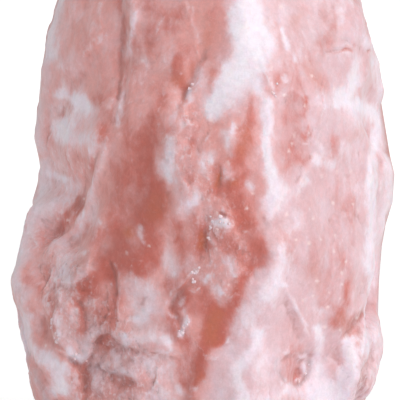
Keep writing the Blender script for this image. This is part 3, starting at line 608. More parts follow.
# thick salt that swallows light
deepFront = [
    # zones
    (0.42, 5.1, [(-19.9, 111.9, 4.4), (-21.7, 88.2, 7.3)]),
    (0.55, 5.1, [(-22.8, 79.1, 7.3), (-28.6, 62, 9.5)]),
    (0.4, 2.9, [(-14, 129.1, 2.6), (-14, 121.8, 2.6), (-13.7, 110.8, 2.9), (-11.8, 102.8, 2.2)]),
    (0.35, 2.9, [(-8.9, 71.5, 2.6), (-9.7, 62, 3.3), (-11.8, 51.8, 2.9)]),
    (0.25, 3.3, [(3.8, 72.9, 3.3), (11.5, 70, 4.4), (15.1, 63.4, 3.3)]),
    (0.2, 4.4, [(-19.9, 164.8, 4.4), (-14.4, 152.4, 5.1)]),
    (0.72, 4.4, [(-43.9, 59.1, 5.1), (-41, 37.2, 7.3), (-36.3, 22.6, 9.5), (-33.7, 0.7, 10.9)]),
    (0.4, 3.6, [(-22.8, 48.1, 4.4), (-19.9, 35.4, 5.8), (-11.8, 37.2, 3.6)]),
    (0.5, 3.6, [(-21.7, 164.8, 3.6), (-20.6, 152, 3.6), (-21.3, 135.6, 3.6)]),
    (0.35, 3.6, [(-33.7, 113.8, 3.3), (-32.6, 84.6, 3.6)]),
    (0.3, 3.3, [(-12.6, 163, 3.6), (-11.8, 152.4, 3.3), (-12.6, 141.1, 3.3), (-13.3, 132, 2.9)]),
    (0.45, 0.9, [(-29, 163, 1.1), (-29, 146.6, 1.1), (-29.7, 132, 0.9)]),
    (0.4, 0.7, [(-30.8, 126.9, 0.7), (-31.5, 121, 0.7)]),
    # creases and rims
    (0.6, 1.1, [(-34.8, 59.8, 1.1), (-32.6, 54.7, 0.9), (-31.9, 51, 0.7)]),
    (0.6, 1.5, [(-41, 28.4, 1.5), (-43.6, 24.1, 1.8), (-43.6, 17.5, 1.8), (-43.6, 2.6, 1.8)]),
    (0.35, 1.1, [(-38.1, 32.8, 1.5), (-35.2, 31, 1.5)]),
    (0.4, 1.8, [(-57.1, 38.6, 2.2), (-54.9, 32.8, 1.8)]),
    (0.5, 1.1, [(-44.7, 84.6, 1.1), (-45.8, 80.2, 0.9)]),
    (0.6, 1.8, [(-61.4, 21.9, 1.1), (-60, 17.1, 1.5), (-57.8, 12.4, 1.8), (-56.3, 2.6, 2.2)]),
    (0.5, 2.2, [(-1.6, 29.2, 1.8), (-2.7, 23.3, 2.6), (-5.3, 17.5, 2.6), (-6, 2.6, 2.6)]),
    (0.6, 1.5, [(-8.9, 51, 1.8), (-11.1, 45.9, 1.8), (-10, 40.8, 1.1)]),
    (0.35, 2.2, [(2.7, 40.8, 3.3), (2.4, 34.3, 2.9)]),
    (0.25, 2.9, [(31.9, 119.6, 2.6), (33, 111.9, 3.6), (32.6, 105.7, 2.6)]),
    (0.3, 2.9, [(50.9, 48.1, 2.2), (50.1, 38.6, 3.3)]),
    (0.4, 1.1, [(53.8, 40.1, 1.5), (57.4, 43.8, 0.9), (60.3, 48.1, 0.7)]),
    (0.3, 1.5, [(58.9, 27, 1.5), (58.2, 21.9, 1.8), (56.7, 16, 2.2), (54.5, 4.4, 2.2)]),
    (0.2, 5.8, [(47.6, 79.1, 5.1), (51.2, 68.2, 4.4)]),
    (0.25, 5.1, [(45.8, 152, 4.4), (40.3, 135.6, 4.4)]),
    (0.4, 2.6, [(12.9, 85.3, 2.9), (18, 70, 3.3), (19.5, 62, 2.6)]),
    (0.4, 0.9, [(21, 79.5, 0.7), (22.8, 75.1, 0.5)]),
    (0.6, 0.7, [(5.7, 95.2, 0.5), (5.3, 92.6, 0.7)]),
    (0.35, 1.8, [(-9.7, 129.8, 2.2), (-7.5, 124, 1.5)]),
    (0.35, 1.5, [(-33, 19.7, 1.5), (-29.4, 17.5, 2.2), (-26.4, 19, 1.5)]),
    (0.4, 1.1, [(-29.4, 31, 1.1), (-23.5, 29.5, 1.5), (-18, 28.4, 1.1)]),
    (0.5, 0.9, [(-49, 26.3, 0.7), (-46.1, 24.8, 1.1)]),
    (0.4, 1.1, [(-67.6, 46.3, 0.7), (-65.4, 31.7, 0.9), (-64, 23.3, 1.1)]),
    (0.5, 0.9, [(-5.3, 126.9, 0.7), (-7.1, 122.5, 0.9)]),
    (0.6, 0.7, [(26.8, 26.3, 0.4), (26.3, 23.7, 0.6), (27.3, 20.8, 0.6), (29.2, 18.6, 0.6)]),
    (0.3, 0.7, [(30.4, 17.5, 0.5), (33.4, 17, 0.5)]),
    (0.8, 0.4, [(-22.4, 48.5, 0.4), (-22.6, 47.2, 0.5)]),
    (0.7, 0.4, [(-21.9, 45.2, 0.4)]),
    (0.35, 0.7, [(30.4, 28.4, 0.5), (34.1, 28.8, 0.7), (37.7, 28.8, 0.5)]),
    (0.5, 0.7, [(38.8, 25.9, 0.4), (38.3, 23, 0.6), (37, 19.7, 0.7), (34.8, 17.3, 0.5)]),
    (0.2, 1.8, [(30.4, 48.1, 1.1), (32.6, 43.8, 1.5)]),
]
deep = {
    "front": deepFront,
    "right": [
        (0.4, 10, [(10, 120, 14), (14, 60, 16)]),
    ],
    "back": [
        (0.55, 12, [(6, 104, 12), (-5, 76, 13), (9, 40, 12)]),
        (0.6, 10, [(44, 150, 10), (58, 120, 12)]),
        (0.5, 10, [(-48, 70, 12), (-46, 30, 12)]),
    ],
    "left": [
        (0.7, 12, [(0, 160, 14), (-8, 110, 14), (-12, 60, 16)]),
    ],
}

# broken, grainy ground
rough = [
    (1.0, 3.6, [(-52.7, 62, 5.1), (-49, 48.1, 8.8), (-38.1, 33.5, 12.4), (-30.8, 17.1, 16)]),
    (0.25, 2.9, [(33, 24.4, 5.1)]),
    (0.6, 4.4, [(-5.3, 113.8, 5.1), (-5.3, 102.8, 7.3), (3.8, 80.9, 9.5), (7.5, 59.1, 10.2)]),
    (0.7, 3.6, [(58.9, 37.2, 5.1), (54.9, 19, 7.3)]),
    (0.12, 7.3, [(45.8, 113.8, 10.9), (42.1, 84.6, 14.6), (42.1, 55.4, 14.6)]),
    (0.4, 5.1, [(-52.7, 113.8, 6.6), (-52, 91.9, 6.6), (-58.2, 70, 6.6)]),
]

# bright specks: across, height, radius
specks = [
    (30.1, 79.5, 0.6), (39.6, 78, 0.5), (38.1, 68.9, 0.7), (46.9, 83.5, 0.6), (41, 55.1, 0.7),
    (45, 45.6, 0.6), (50.1, 54, 0.5), (50.1, 58, 0.5), (56, 80.6, 0.4), (27.9, 155, 0.6), (37, 136.4, 0.4),
    (39.2, 129.8, 0.5), (29, 122.9, 0.5), (32.6, 107.9, 0.4), (31.9, 105, 0.5), (30.8, 102.5, 0.5),
    (35.5, 91.9, 0.5), (42.8, 93.3, 0.5), (36.6, 118.9, 0.4), (47.2, 125.4, 0.5), (48.3, 94.8, 0.4),
    (53.4, 94.8, 0.4), (54.1, 83.1, 0.4), (42.5, 70, 0.4), (47.6, 71.5, 0.5), (47.2, 66, 0.5),
    (51.6, 62, 0.4), (45.4, 51, 0.4), (49.4, 48.9, 0.4), (39.6, 49.6, 0.5), (43.9, 38.3, 0.6),
    (35.9, 48.1, 0.4), (33.4, 70, 0.4), (55.6, 41.6, 0.5), (57.4, 54, 0.4), (8.6, 98.1, 0.5),
    (15.5, 81.7, 0.5), (17.7, 87.1, 0.5), (14.8, 72.9, 0.4), (4.6, 79.8, 0.5), (10.4, 75.1, 0.4),
    (4.2, 66.7, 0.4), (11.5, 56.9, 0.5), (8.9, 53.6, 0.5), (-3.8, 54.7, 0.5), (-10.8, 107.2, 0.5),
    (-7.5, 111.2, 0.5), (-6.7, 103.2, 0.5), (-22.4, 135.3, 0.4), (-40.3, 100.3, 0.4), (-43.9, 85, 0.4),
    (-49.8, 77.3, 0.5), (-52, 80.6, 0.5), (-53.4, 77.7, 0.4), (-28.3, 65.3, 0.4), (-20.2, 67.8, 0.4),
    (-57.4, 53.6, 0.4), (-57.8, 31.4, 0.5), (-29, 27, 0.4), (12.9, 116.7, 0.4), (11.5, 110.8, 0.5),
    (2.4, 113.8, 0.5), (49.4, 37.2, 0.4),
]

# where small crystals have grown: how thickly they stand, soft edge, line
crystalGround = [
    (0.3, 1.1, [(37.7, 27, 1.1), (38.1, 24.1, 1.1)]),
    (0.45, 1.1, [(36.3, 21.9, 1.1), (33.7, 19, 1.1)]),
    (0.6, 1.5, [(3.1, 75.1, 1.5), (6.4, 77.3, 2.2), (8.9, 76.6, 1.1)]),
    (0.35, 0.7, [(1.6, 74, 0.5), (2.4, 71.1, 0.7)]),
    (1.0, 0.7, [(-5.3, 126.2, 0.7), (-6, 124.3, 0.7)]),
    (0.5, 0.7, [(-55.2, 40.8, 0.7), (-55.2, 36.5, 0.7), (-53, 33.2, 0.9)]),
    (0.5, 0.7, [(-47.6, 27.7, 0.7), (-43.9, 26.6, 0.7)]),
    (0.8, 0.7, [(-6.4, 40.5, 0.7), (-8.2, 36.8, 0.7)]),
    (0.7, 0.7, [(-2.4, 59.4, 0.7), (-4.2, 55.1, 0.5), (-3.1, 51.4, 0.7)]),
    (0.25, 1.1, [(28.3, 129.1, 1.5), (26.1, 124, 1.1), (30.4, 124, 1.1)]),
    (0.6, 0.7, [(30.1, 53.6, 0.9)]),
]

# edges, creases and holes cut into each side: kind, height, line; a step is high to the left of its line
reliefFront = [
    # seam, strip and step on the left
    ("groove", 0.4, [(-30.1, 164.8, 1.1), (-30.4, 146.6, 1.1), (-30.4, 135.6, 0.9), (-30.8, 127.6, 0.8),
        (-31.5, 121.8, 0.7)]),
    ("ridge", 0.45, [(-25.7, 163, 1.5), (-25.7, 150.9, 1.3), (-26.8, 143.7, 1.1), (-27.9, 137.8, 0.7),
        (-29, 128.3, 0.7), (-30.1, 121, 0.9), (-31.5, 113.8, 0.9)]),
    ("ridge", 0.7, [(-35.5, 106.5, 1.5), (-36.6, 99.9, 1.3), (-38.5, 94.8, 1.1), (-39.6, 90.4, 1.1),
        (-41.7, 84.6, 1.5)]),
    ("step", 1.4, [(-39.6, 96.3, 1.5), (-41.4, 90.4, 1.5), (-42.8, 85.7, 1.5), (-44.3, 81.7, 1.5),
        (-45.8, 78.4, 1.5), (-47.9, 74.4, 1.5), (-51.2, 71.5, 1.5), (-54.1, 69.6, 1.1)]),
    ("step", 0.9, [(-0.2, 134.2, 1.1), (-2.4, 131.3, 1.5), (-3.1, 128.3, 1.5), (-5.3, 126.2, 1.5),
        (-6.4, 123.6, 1.5), (-7.5, 120.7, 1.1), (-9.7, 118.1, 0.7)]),
    ("step", 0.9, [(-0.2, 134.9, 2.6), (-3.8, 125.4, 2.6), (-6.7, 119.6, 2.2)]),
    # slits and holes of the middle
    ("groove", 0.6, [(6, 96.3, 0.5), (6, 93, 0.9), (5.3, 89.3, 0.9)]),
    ("ridge", 0.8, [(8.9, 96.3, 2.2), (9.7, 93.7, 2.2)]),
    ("groove", 0.6, [(0.5, 74, 0.5), (0.2, 70, 0.9), (0.2, 66.7, 0.9)]),
    ("ridge", 0.7, [(1.6, 75.8, 0.9), (2, 71.5, 1.1), (4.2, 68.9, 0.7)]),
    ("pit", 0.9, [(6, 79.8, 0.7), (7.8, 78.4, 0.7)]),
    # ledge, lump and blocks low on the left
    ("step", 0.9, [(-31.5, 32.8, 1.5), (-27.9, 31.4, 1.5), (-23.5, 30.3, 1.5), (-19.1, 29.5, 1.5),
        (-15.5, 28.8, 1.5), (-11.8, 28.1, 1.1)]),
    ("ridge", 0.6, [(-29.4, 34.6, 1.5), (-22.8, 34.3, 1.8), (-17, 34.6, 1.8), (-13.3, 31.7, 1.1)]),
    ("step", 1.7, [(-51.2, 28.1, 1.5), (-49, 27, 1.5), (-46.9, 26.3, 1.5), (-44.7, 25.2, 1.5),
        (-42.8, 26.6, 1.5), (-41.4, 29.9, 1.5), (-40.3, 32.4, 1.5), (-39.2, 34.3, 1.1)]),
    ("step", 1.0, [(-39.2, 34.3, 1.1), (-37, 35.7, 1.1), (-34.5, 36.5, 1.1), (-32.6, 34.3, 0.7)]),
    ("step", 1.6, [(-53.8, 51, 1.1), (-53.8, 45.9, 1.5), (-55.2, 41.9, 1.5), (-55.6, 38.6, 1.5),
        (-55.2, 35.4, 1.5), (-53.4, 32.8, 1.5), (-51.2, 30.6, 1.1)]),
    ("step", 1.3, [(-61.4, 26.3, 1.5), (-58.5, 21.9, 1.8), (-56.3, 17.5, 1.8), (-53.8, 13.1, 1.8)]),
    ("step", 1.1, [(-43.9, 13.1, 1.5), (-45, 18.2, 1.5), (-45.8, 21.9, 1.5), (-48.7, 24.8, 1.1)]),
    ("ridge", 0.8, [(-56.3, 25.5, 2.9), (-53.4, 21.1, 3.3), (-51.6, 16.8, 2.6)]),
    ("groove", 0.8, [(-41, 27.7, 1.1), (-42.8, 23.3, 1.3), (-43.2, 17.5, 1.5), (-43.6, 11.7, 1.5),
        (-43.2, 0.7, 1.8)]),
    ("step", 0.9, [(-34.5, 22.6, 1.1), (-31.5, 21.5, 1.1), (-28.6, 20.4, 1.1), (-26.1, 19.3, 1.1)]),
    ("step", 0.8, [(-33.7, 15.3, 1.1), (-34.5, 19, 1.1), (-34.8, 22.2, 1.1)]),
    ("step", 0.7, [(-36.6, 24.8, 1.1), (-38.8, 24.1, 1.1), (-40.7, 22.6, 1.1), (-41, 19, 1.1)]),
    ("pit", 0.5, [(-29.4, 17.1, 2.2), (-26.8, 17.9, 1.5)]),
    ("groove", 0.8, [(-34.8, 62, 0.7), (-33.4, 58.3, 0.9), (-32.3, 54.7, 0.9), (-31.5, 50.3, 0.7)]),
    ("step", 0.9, [(-31.5, 50.3, 1.1), (-31.9, 44.5, 1.5), (-31.5, 39, 1.1)]),
    ("groove", 0.7, [(-45.4, 47.4, 0.9), (-43.6, 43, 1.1), (-43.9, 36.5, 1.1)]),
    ("ridge", 0.5, [(-48.3, 45.2, 0.7), (-48.3, 40.1, 0.9)]),
    ("ridge", 0.5, [(-46.1, 45.2, 0.7), (-46.5, 39.4, 0.9)]),
    # middle and right
    ("step", 0.9, [(-53.4, 54, 1.1), (-50.5, 54, 1.1), (-47.6, 53.6, 1.1), (-44.7, 55.4, 1.1),
        (-42.5, 56.9, 1.1), (-41.7, 61.3, 1.1)]),
    ("step", -1.0, [(-7.5, 53.6, 1.1), (-10, 51.4, 1.5), (-12.2, 48.5, 1.5), (-13.7, 45.2, 1.5),
        (-11.5, 42.7, 1.5), (-10.4, 40.5, 1.5), (-9.3, 37.9, 1.1)]),
    ("ridge", 0.6, [(-1.6, 59.8, 0.5), (-3.8, 58.7, 0.7), (-5.7, 56.5, 0.7)]),
    ("ridge", 0.6, [(-5.3, 51.8, 0.5), (-3.5, 51.4, 0.7), (-1.6, 52.9, 0.5)]),
    ("ridge", 0.7, [(-6, 42.3, 0.7), (-6.7, 39.4, 1.1), (-8.6, 36.8, 0.9), (-8.9, 35, 0.5)]),
    ("step", 0.5, [(38.1, 36.5, 0.9), (36.3, 40.8, 0.9), (34.5, 44.5, 0.9), (31.9, 49.2, 0.9),
        (29.7, 53.6, 0.9)]),
    ("groove", 0.5, [(29.7, 46.7, 1.8), (31.9, 41.6, 2.2), (34.1, 35.4, 2.2)]),
    # the pit
    ("step", -0.75, [(29.4, 28.1, 1.1), (26.8, 25.9, 1.1), (26.1, 22.6, 1.1), (27.5, 19, 1.1),
        (30.1, 17.5, 1.1)]),
    ("pit", 0.6, [(33.7, 21.9, 1.8)]),
    ("ridge", 0.8, [(34.1, 27.3, 0.7), (36.6, 27.7, 0.9)]),
    ("ridge", 0.8, [(35.9, 24.8, 0.9), (35.9, 22.2, 0.7)]),
    ("ridge", 0.6, [(33.4, 19, 0.9), (34.1, 19, 0.7)]),
    ("step", 0.5, [(29.7, 28.4, 1.1), (34.1, 28.1, 1.1), (38.5, 28.4, 1.1)]),
    ("step", -0.6, [(34.5, 16, 1.1), (37.4, 19, 1.1), (38.5, 23, 1.1), (39.2, 27, 1.1)]),
    # low on the right
    ("ridge", 0.8, [(53, 33.5, 2.2), (53.4, 27, 2.6), (53.8, 21.1, 2.6), (51.6, 15.3, 2.6),
        (49.4, 9.8, 2.6)]),
    ("step", 1.7, [(52, 2.6, 1.5), (53, 10.2, 1.5), (54.9, 15.3, 1.5), (56.7, 20.4, 1.5), (57.4, 24.1, 1.5),
        (59.2, 28.8, 1.1)]),
    ("groove", 1.0, [(63.3, 49.6, 1.1), (59.6, 46.3, 1.3), (57.4, 41.6, 1.3), (54.5, 39, 1.1),
        (51.6, 35, 0.9)]),
    ("groove", 0.7, [(65.1, 102.8, 0.7), (64.4, 96.3, 0.9), (64, 88.2, 0.9), (63.6, 79.1, 0.9),
        (63.6, 70, 0.7)]),
    ("ridge", 0.4, [(62.5, 113.8, 1.8), (61.8, 102.8, 1.8), (61.4, 88.2, 1.8), (61.1, 73.6, 1.8),
        (60.3, 59.1, 1.8)]),
    ("groove", 0.5, [(67.3, 95.5, 0.7), (66.2, 90.1, 0.7), (65.4, 84.6, 0.7)]),
    # upper right
    ("groove", 0.4, [(44.3, 138.2, 0.7), (47.9, 138.9, 0.7), (51.6, 140, 0.7), (54.1, 139.3, 0.5)]),
    ("groove", 0.3, [(49.8, 142.6, 0.5), (52.7, 142.2, 0.7), (54.9, 140.7, 0.5)]),
    ("pit", 0.6, [(60, 138.9, 0.7)]),
    ("groove", 0.25, [(26.4, 152.4, 0.7), (27.2, 148, 0.7), (27.9, 143.7, 0.7), (29, 139.3, 0.7)]),
    # the oval
    ("step", 0.7, [(39.9, 100.6, 0.9), (38.5, 98.1, 1.1), (36.3, 95.2, 1.1), (34.8, 91.9, 0.7)]),
    ("step", -0.5, [(35.9, 123.2, 1.1), (38.1, 119.2, 1.1), (38.1, 113.8, 1.1), (38.8, 108.7, 1.1),
        (37.7, 105.7, 1.1)]),
    ("pit", 0.5, [(31.9, 119.6, 3.3), (33.7, 111.6, 4), (33.4, 105, 3.3)]),
    # fine lines at the top
    ("ridge", 0.2, [(-8.2, 161.2, 0.7), (-6.4, 154.6, 0.7), (-4.6, 149.5, 0.7), (-3.1, 141.1, 0.7),
        (-0.5, 131.3, 0.5)]),
    ("ridge", 0.3, [(-38.1, 154.6, 0.5), (-37.7, 147.3, 0.5)]),
    ("ridge", 0.3, [(-10.4, 155.7, 0.5), (-16.2, 148.8, 0.5), (-18, 144.4, 0.5)]),
]
relief = {
    "front": reliefFront,
    "right": [
        ("step", 1.8, [(22, 184, 3), (30, 152, 3), (24, 124, 3), (32, 92, 3)]),
        ("step", -1.6, [(40, 90, 3), (32, 62, 3), (42, 34, 3), (36, 10, 3)]),
        ("groove", 1.1, [(44, 150, 2), (38, 128, 2), (46, 106, 2)]),
        ("step", 1.2, [(14, 66, 2.5), (28, 58, 2.5), (44, 64, 2.5)]),
    ],
    "back": [
        ("step", 1.7, [(-34, 178, 3), (-22, 152, 3), (-27, 124, 3), (-14, 98, 3), (-20, 76, 2)]),
        ("step", -1.5, [(18, 98, 3), (27, 72, 3), (20, 46, 3), (31, 16, 3)]),
        ("step", 1.5, [(46, 134, 3), (38, 112, 3), (45, 90, 3)]),
        ("groove", 1.1, [(-58, 96, 2), (-46, 86, 2), (-38, 66, 2), (-42, 40, 2)]),
        ("ridge", 1.1, [(2, 182, 2.5), (11, 160, 2.5), (6, 140, 2)]),
        ("step", 1.4, [(-42, 32, 3), (-20, 26, 3), (-4, 34, 3), (12, 27, 3)]),
        ("pit", 1.3, [(36, 58, 4), (33, 52, 3)]),
        ("step", -1.2, [(-10, 196, 2), (14, 186, 2), (30, 190, 2)]),
        ("groove", 0.8, [(4, 132, 1.6), (14, 122, 1.6), (30, 124, 1.6)]),
    ],
    "left": [
        ("step", 1.8, [(-24, 180, 3), (-16, 152, 3), (-26, 126, 3), (-18, 100, 3)]),
        ("step", -1.6, [(-42, 114, 3), (-33, 86, 3), (-43, 58, 3), (-36, 28, 3)]),
        ("groove", 1.1, [(-14, 96, 2), (-22, 72, 2), (-15, 48, 2), (-20, 22, 2)]),
        ("step", 1.2, [(-46, 152, 2.5), (-32, 144, 2.5), (-18, 150, 2.5)]),
    ],
}

# where the outline stands out or draws in: height, line
swells = [
    (-1.5, [(21, 168.4, 4.4), (21, 146.6, 4.7), (20.6, 128.3, 5.5), (19.9, 111.9, 4.7)]),
    (1.2, [(11.5, 141.1, 5.1), (7.8, 130.2, 5.8), (6.4, 119.2, 5.5), (10, 106.5, 3.3)]),
    (1.5, [(65.4, 118.1, 2.2), (66.9, 113, 2.9), (67.6, 107.2, 2.6), (68, 103.5, 1.8)]),
    (1.0, [(63.3, 134.2, 2.9), (65.1, 124.7, 2.9), (66.2, 116.7, 2.9), (67.6, 107.9, 2.9),
        (68, 102.8, 2.2)]),
    (0.9, [(68, 80.2, 2.6), (66.2, 73.6, 3.3), (64.4, 66.4, 2.9), (63.3, 59.1, 2.9), (62.9, 48.1, 2.9),
        (63.6, 39.4, 2.9)]),
    (-1.1, [(61.1, 152.4, 2.9), (61.8, 145.8, 2.9)]),
    (-0.8, [(-56.7, 150.2, 2.9), (-58.5, 144.4, 2.9), (-59.2, 137.1, 2.9)]),
    (-1.2, [(-70.2, 51.8, 2.9), (-69.1, 44.5, 3.3), (-67.6, 35.4, 3.3), (-66.2, 26.3, 3.3),
        (-64.7, 17.1, 3.3), (-62.9, 8, 3.3)]),
    (-0.9, [(-69.1, 43, 2.9), (-68, 36.5, 3.3), (-66.5, 29.2, 2.6)]),
]

# what the camera sees, sizes in mm
view = {
    "distance": 1000,
    "across": -1.6,        # middle of the picture
    "height": 84.6,
    "frameWidth": 145.8,   # what the picture spans at the stone's widest outline
    "outlineDepth": 6,
    "sensorWidth": 36,
}

# the stone, sizes in mm
lump = {
    "cadNode": "halite_lump",
    "slot": "salt",
    "cell": 0.72,          # voxels of the fine surface
    "softening": 7,        # smoothing rounds after the remesh
    "triangles": 192000,
    "coarseFrom": (-5, 12),  # depths between which the surface turns coarser, away from the photo's side
    "seed": 4,
    "broadRounds": 12,     # smoothing rounds that turn a point's facing into that of its broad face
    "sidePull": 0.005,     # how much its place, beside its facing, decides whose drawing it takes
    "frontTurn": (-0.12, 0.2),  # turn towards the front over which the front's drawing takes over
    "sideTurn": (0.3, 0.8),
    "brokenElsewhere": 0.55,  # how broken the sides and the back are
    "leastBroken": 0.15,
    "patches": (0.25, 24, 2, 3.3),  # uneven brokenness: strength, size, octaves, place in the noise
    # natural relief, clouds: height, size, octaves, place in the noise, upright stretch
    "waves": (0.45, 15, 2, 8.1, 1.4),
    "pimples": (0.3, 2.4, 2, 5.4),
    # natural relief, scoops: height, size, place in the noise, upright stretch
    "bigScoops": (1.9, 11, 2.7, 1.5),
    "smallScoops": (1.3, 5, 6.2, 1.4),
    "fineScoops": (0.45, 2.8, 9.6, 1.2),
    # how drawn lines waver, across and upwards: reach, size, octaves, place in the noise
    "ripple": ((0.48, 5, 2, 1.9), (0.48, 5, 2, 7.7)),
    "warp": ((1.1, 6, 3, 4.4), (1.4, 7, 3, 9.2)),
    "stepTurn": 0.4,       # how sharply a step drops, in its half widths
    "stepReach": 3,        # how far it takes to level out again, in its half widths
    "outlineBand": 30,     # how far in front of and behind the outline its swells reach
    "carvedFrom": (0.5, 5),  # the carving fades in between these heights
    "boxMargin": 0.02,     # what is kept clear inside the CAD box
    "footFacing": -0.6,    # faces that look down more than this, below the next height, are laid flat
    "footHeight": 2,
    "footSnap": 0.1,       # everything below this height is on the base
    "crest": ((3, 1.2), (18, 0.6)),  # how edges and creases are told: smoothing rounds, strength
    "speck": (0.9, 0.35),  # strength, soft edge
    "bareFront": 0.55,     # how much less of the natural cover the drawn front takes
}


def readArray(source, name, width):
    values = np.empty(len(source) * width)
    source.foreach_get(name, values)
    return values.reshape(-1, width)


def smoothStep(low, high, values):
    t = np.clip((values - low) / (high - low), 0, 1)
    return t * t * (3 - 2 * t)


def asSeen(points):  # where the camera sees each point, measured on the outline's plane
    nearness = view["distance"] / (view["distance"] + points[:, 1] - view["outlineDepth"])
    across = view["across"] + (points[:, 0] - view["across"]) * nearness
    height = view["height"] + (points[:, 2] - view["height"]) * nearness
    return np.stack((across, height), axis=1)


def flatViews(points):
    return {
        "front": asSeen(points),
        "right": points[:, (1, 2)],
        "back": points[:, (0, 2)] * (-1, 1),
        "left": points[:, (1, 2)] * (-1, 1),
    }


def strokeReach(flat, line):  # distance from a line, its half width there, and how far to its left
    line = np.array(line if len(line) > 1 else line * 2, dtype=float)
    away = np.full(len(flat), 1e9)
    width = np.zeros(len(flat))
    left = np.zeros(len(flat))
    for start, end in zip(line[:-1], line[1:]):
        run = end[:2] - start[:2]
        length = max(math.hypot(*run), 1e-6)
        offset = flat - start[:2]
        along = np.clip(offset @ run / length ** 2, 0, 1)
        gap = flat - (start[:2] + along[:, None] * run)
        distance = np.hypot(gap[:, 0], gap[:, 1])
        half = start[2] + along * (end[2] - start[2])
        nearer = half - distance > width - away
        away[nearer] = distance[nearer]
        width[nearer] = half[nearer]
        left[nearer] = ((run[0] * gap[:, 1] - run[1] * gap[:, 0]) / length)[nearer]
    return away, width, left


def drawn(flat, strokes, feather=1.6):  # how strongly a set of strokes covers each point
    bare = np.ones(len(flat))
    for strength, edge, line in strokes:
        away, width = strokeReach(flat, line)[:2]
        bare *= 1 - strength * smoothStep(-edge * feather, edge * 1.2, width - away)
    return 1 - bare


def clouds(points, size, octaves, shift, stretch=1.0):  # smooth noise of about -1 to 1
    scaled = points / (size, size, size * stretch) + shift
    return np.array([noise.fractal(Vector(p), 1.0, 2.0, octaves) for p in scaled.tolist()])


def scoops(points, size, shift, stretch=1.0):  # shallow tilted scoops that meet in ridges, about -1 to 1
    scaled = (points / (size, size, size * stretch) + shift).tolist()
    heights = np.empty(len(points))
    for i, p in enumerate(scaled):
        floors = []
        for distance, middle in zip(*noise.voronoi(p)):
            slope = (Vector(p) - middle).dot(noise.noise_vector(middle * 3.7)) * 1.3
            floors.append(slope + 0.8 * noise.noise(middle * 5.1) + 0.7 * distance)
        heights[i] = min(floors)
    return heights


def sideShares(points, normals):  # how much each side's drawing counts at each point
    lean = normals[:, :2] + lump["sidePull"] * points[:, :2]
    front = smoothStep(*lump["frontTurn"], -lean[:, 1])
    facing = {"right": lean[:, 0], "back": lean[:, 1], "left": -lean[:, 0]}
    others = {side: smoothStep(*lump["sideTurn"], amount) + 0.001 for side, amount in facing.items()}
    total = sum(others.values())
    shares = {side: (1 - front) * share / total for side, share in others.items()}
    shares["front"] = front
    return shares


def neighbourMean(mesh, values, rounds):
    edges = readArray(mesh.edges, "vertices", 2).astype(int)
    counts = np.bincount(edges.ravel(), minlength=len(values))[:, None]
    for _ in range(rounds):
        total = np.zeros_like(values)
        np.add.at(total, edges[:, 0], values[edges[:, 1]])
        np.add.at(total, edges[:, 1], values[edges[:, 0]])
        values = (values + total) / (1 + counts)
    return values


def neighbourGap(mesh, points):  # mean length of the edges at each point
    edges = readArray(mesh.edges, "vertices", 2).astype(int)
    gaps = np.linalg.norm(points[edges[:, 0]] - points[edges[:, 1]], axis=1)
    counts = np.bincount(edges.ravel(), minlength=len(points))
    totals = np.bincount(edges.ravel(), weights=np.repeat(gaps, 2), minlength=len(points))
    return totals / np.maximum(counts, 1)


def evaluated(item):
    graph = bpy.context.evaluated_depsgraph_get()
    mesh = bpy.data.meshes.new_from_object(item.evaluated_get(graph))
    old = item.data
    item.modifiers.clear()
    item.data = mesh
    bpy.data.meshes.remove(old)


def makeBody():
    form = bmesh.new()
    form.from_mesh(bpy.data.objects[lump["cadNode"]].data)
    bmesh.ops.remove_doubles(form, verts=form.verts, dist=1e-6)
    mesh = bpy.data.meshes.new("salt_lump")
    form.to_mesh(mesh)
    form.free()
    stone = bpy.data.objects.new("salt_lump", mesh)
    bpy.context.scene.collection.objects.link(stone)
    remesh = stone.modifiers.new("remesh", "REMESH")
    remesh.mode = "VOXEL"
    remesh.voxel_size = lump["cell"] * mm
    soften = stone.modifiers.new("soften", "SMOOTH")
    soften.factor = 0.5
    soften.iterations = lump["softening"]
    evaluated(stone)
    thin(stone)
    return stone


def countTriangles(item):
    return sum(len(polygon.vertices) - 2 for polygon in item.data.polygons)


def thin(stone):  # fewer triangles towards the back
    depth = readArray(stone.data.vertices, "co", 3)[:, 1] / mm
    levels = 10
    level = np.round(smoothStep(*lump["coarseFrom"], depth) * levels)
    group = stone.vertex_groups.new(name="rear")
    for step in range(levels + 1):
        group.add(np.flatnonzero(level == step).tolist(), 0.05 + 0.95 * step / levels, "REPLACE")
    decimate = stone.modifiers.new("thin", "DECIMATE")
    decimate.ratio = min(1, lump["triangles"] / countTriangles(stone))
    decimate.vertex_group = "rear"
    decimate.vertex_group_factor = 1.0
    evaluated(stone)
    stone.vertex_groups.clear()


def wobble(points, name):
    return np.stack([reach * clouds(points, *settings) for reach, *settings in lump[name]], axis=1)


def nearOutline(points):
    return np.exp(-((points[:, 1] - view["outlineDepth"]) / lump["outlineBand"]) ** 2)


def brokenGround(points, shares, elsewhere):
    return np.maximum(drawn(asSeen(points), rough) * shares["front"], elsewhere * (1 - shares["front"]))


def carvedRelief(points, shares):  # steps, grooves, ridges and pits drawn on the four sides
    ripple = wobble(points, "ripple")
    behind = 1 - nearOutline(points)  # side drawings leave the outline seen in the photo alone
    rise = np.zeros(len(points))
    for side, flat in flatViews(points).items():
        share = shares[side] * (1 if side == "front" else behind)
        for kind, tall, line in relief[side]:
            away, width, left = strokeReach(flat + ripple, line)
            if kind == "step":
                shape = 0.5 * np.tanh(left / (lump["stepTurn"] * width))
                shape *= np.exp(-(away / (lump["stepReach"] * width)) ** 2)
            elif kind == "pit":
                shape = -np.exp(-(away / width) ** 4)
            else:
                shape = np.exp(-(away / width) ** 2) * (1 if kind == "ridge" else -1)
            rise += tall * shape * share
    return rise


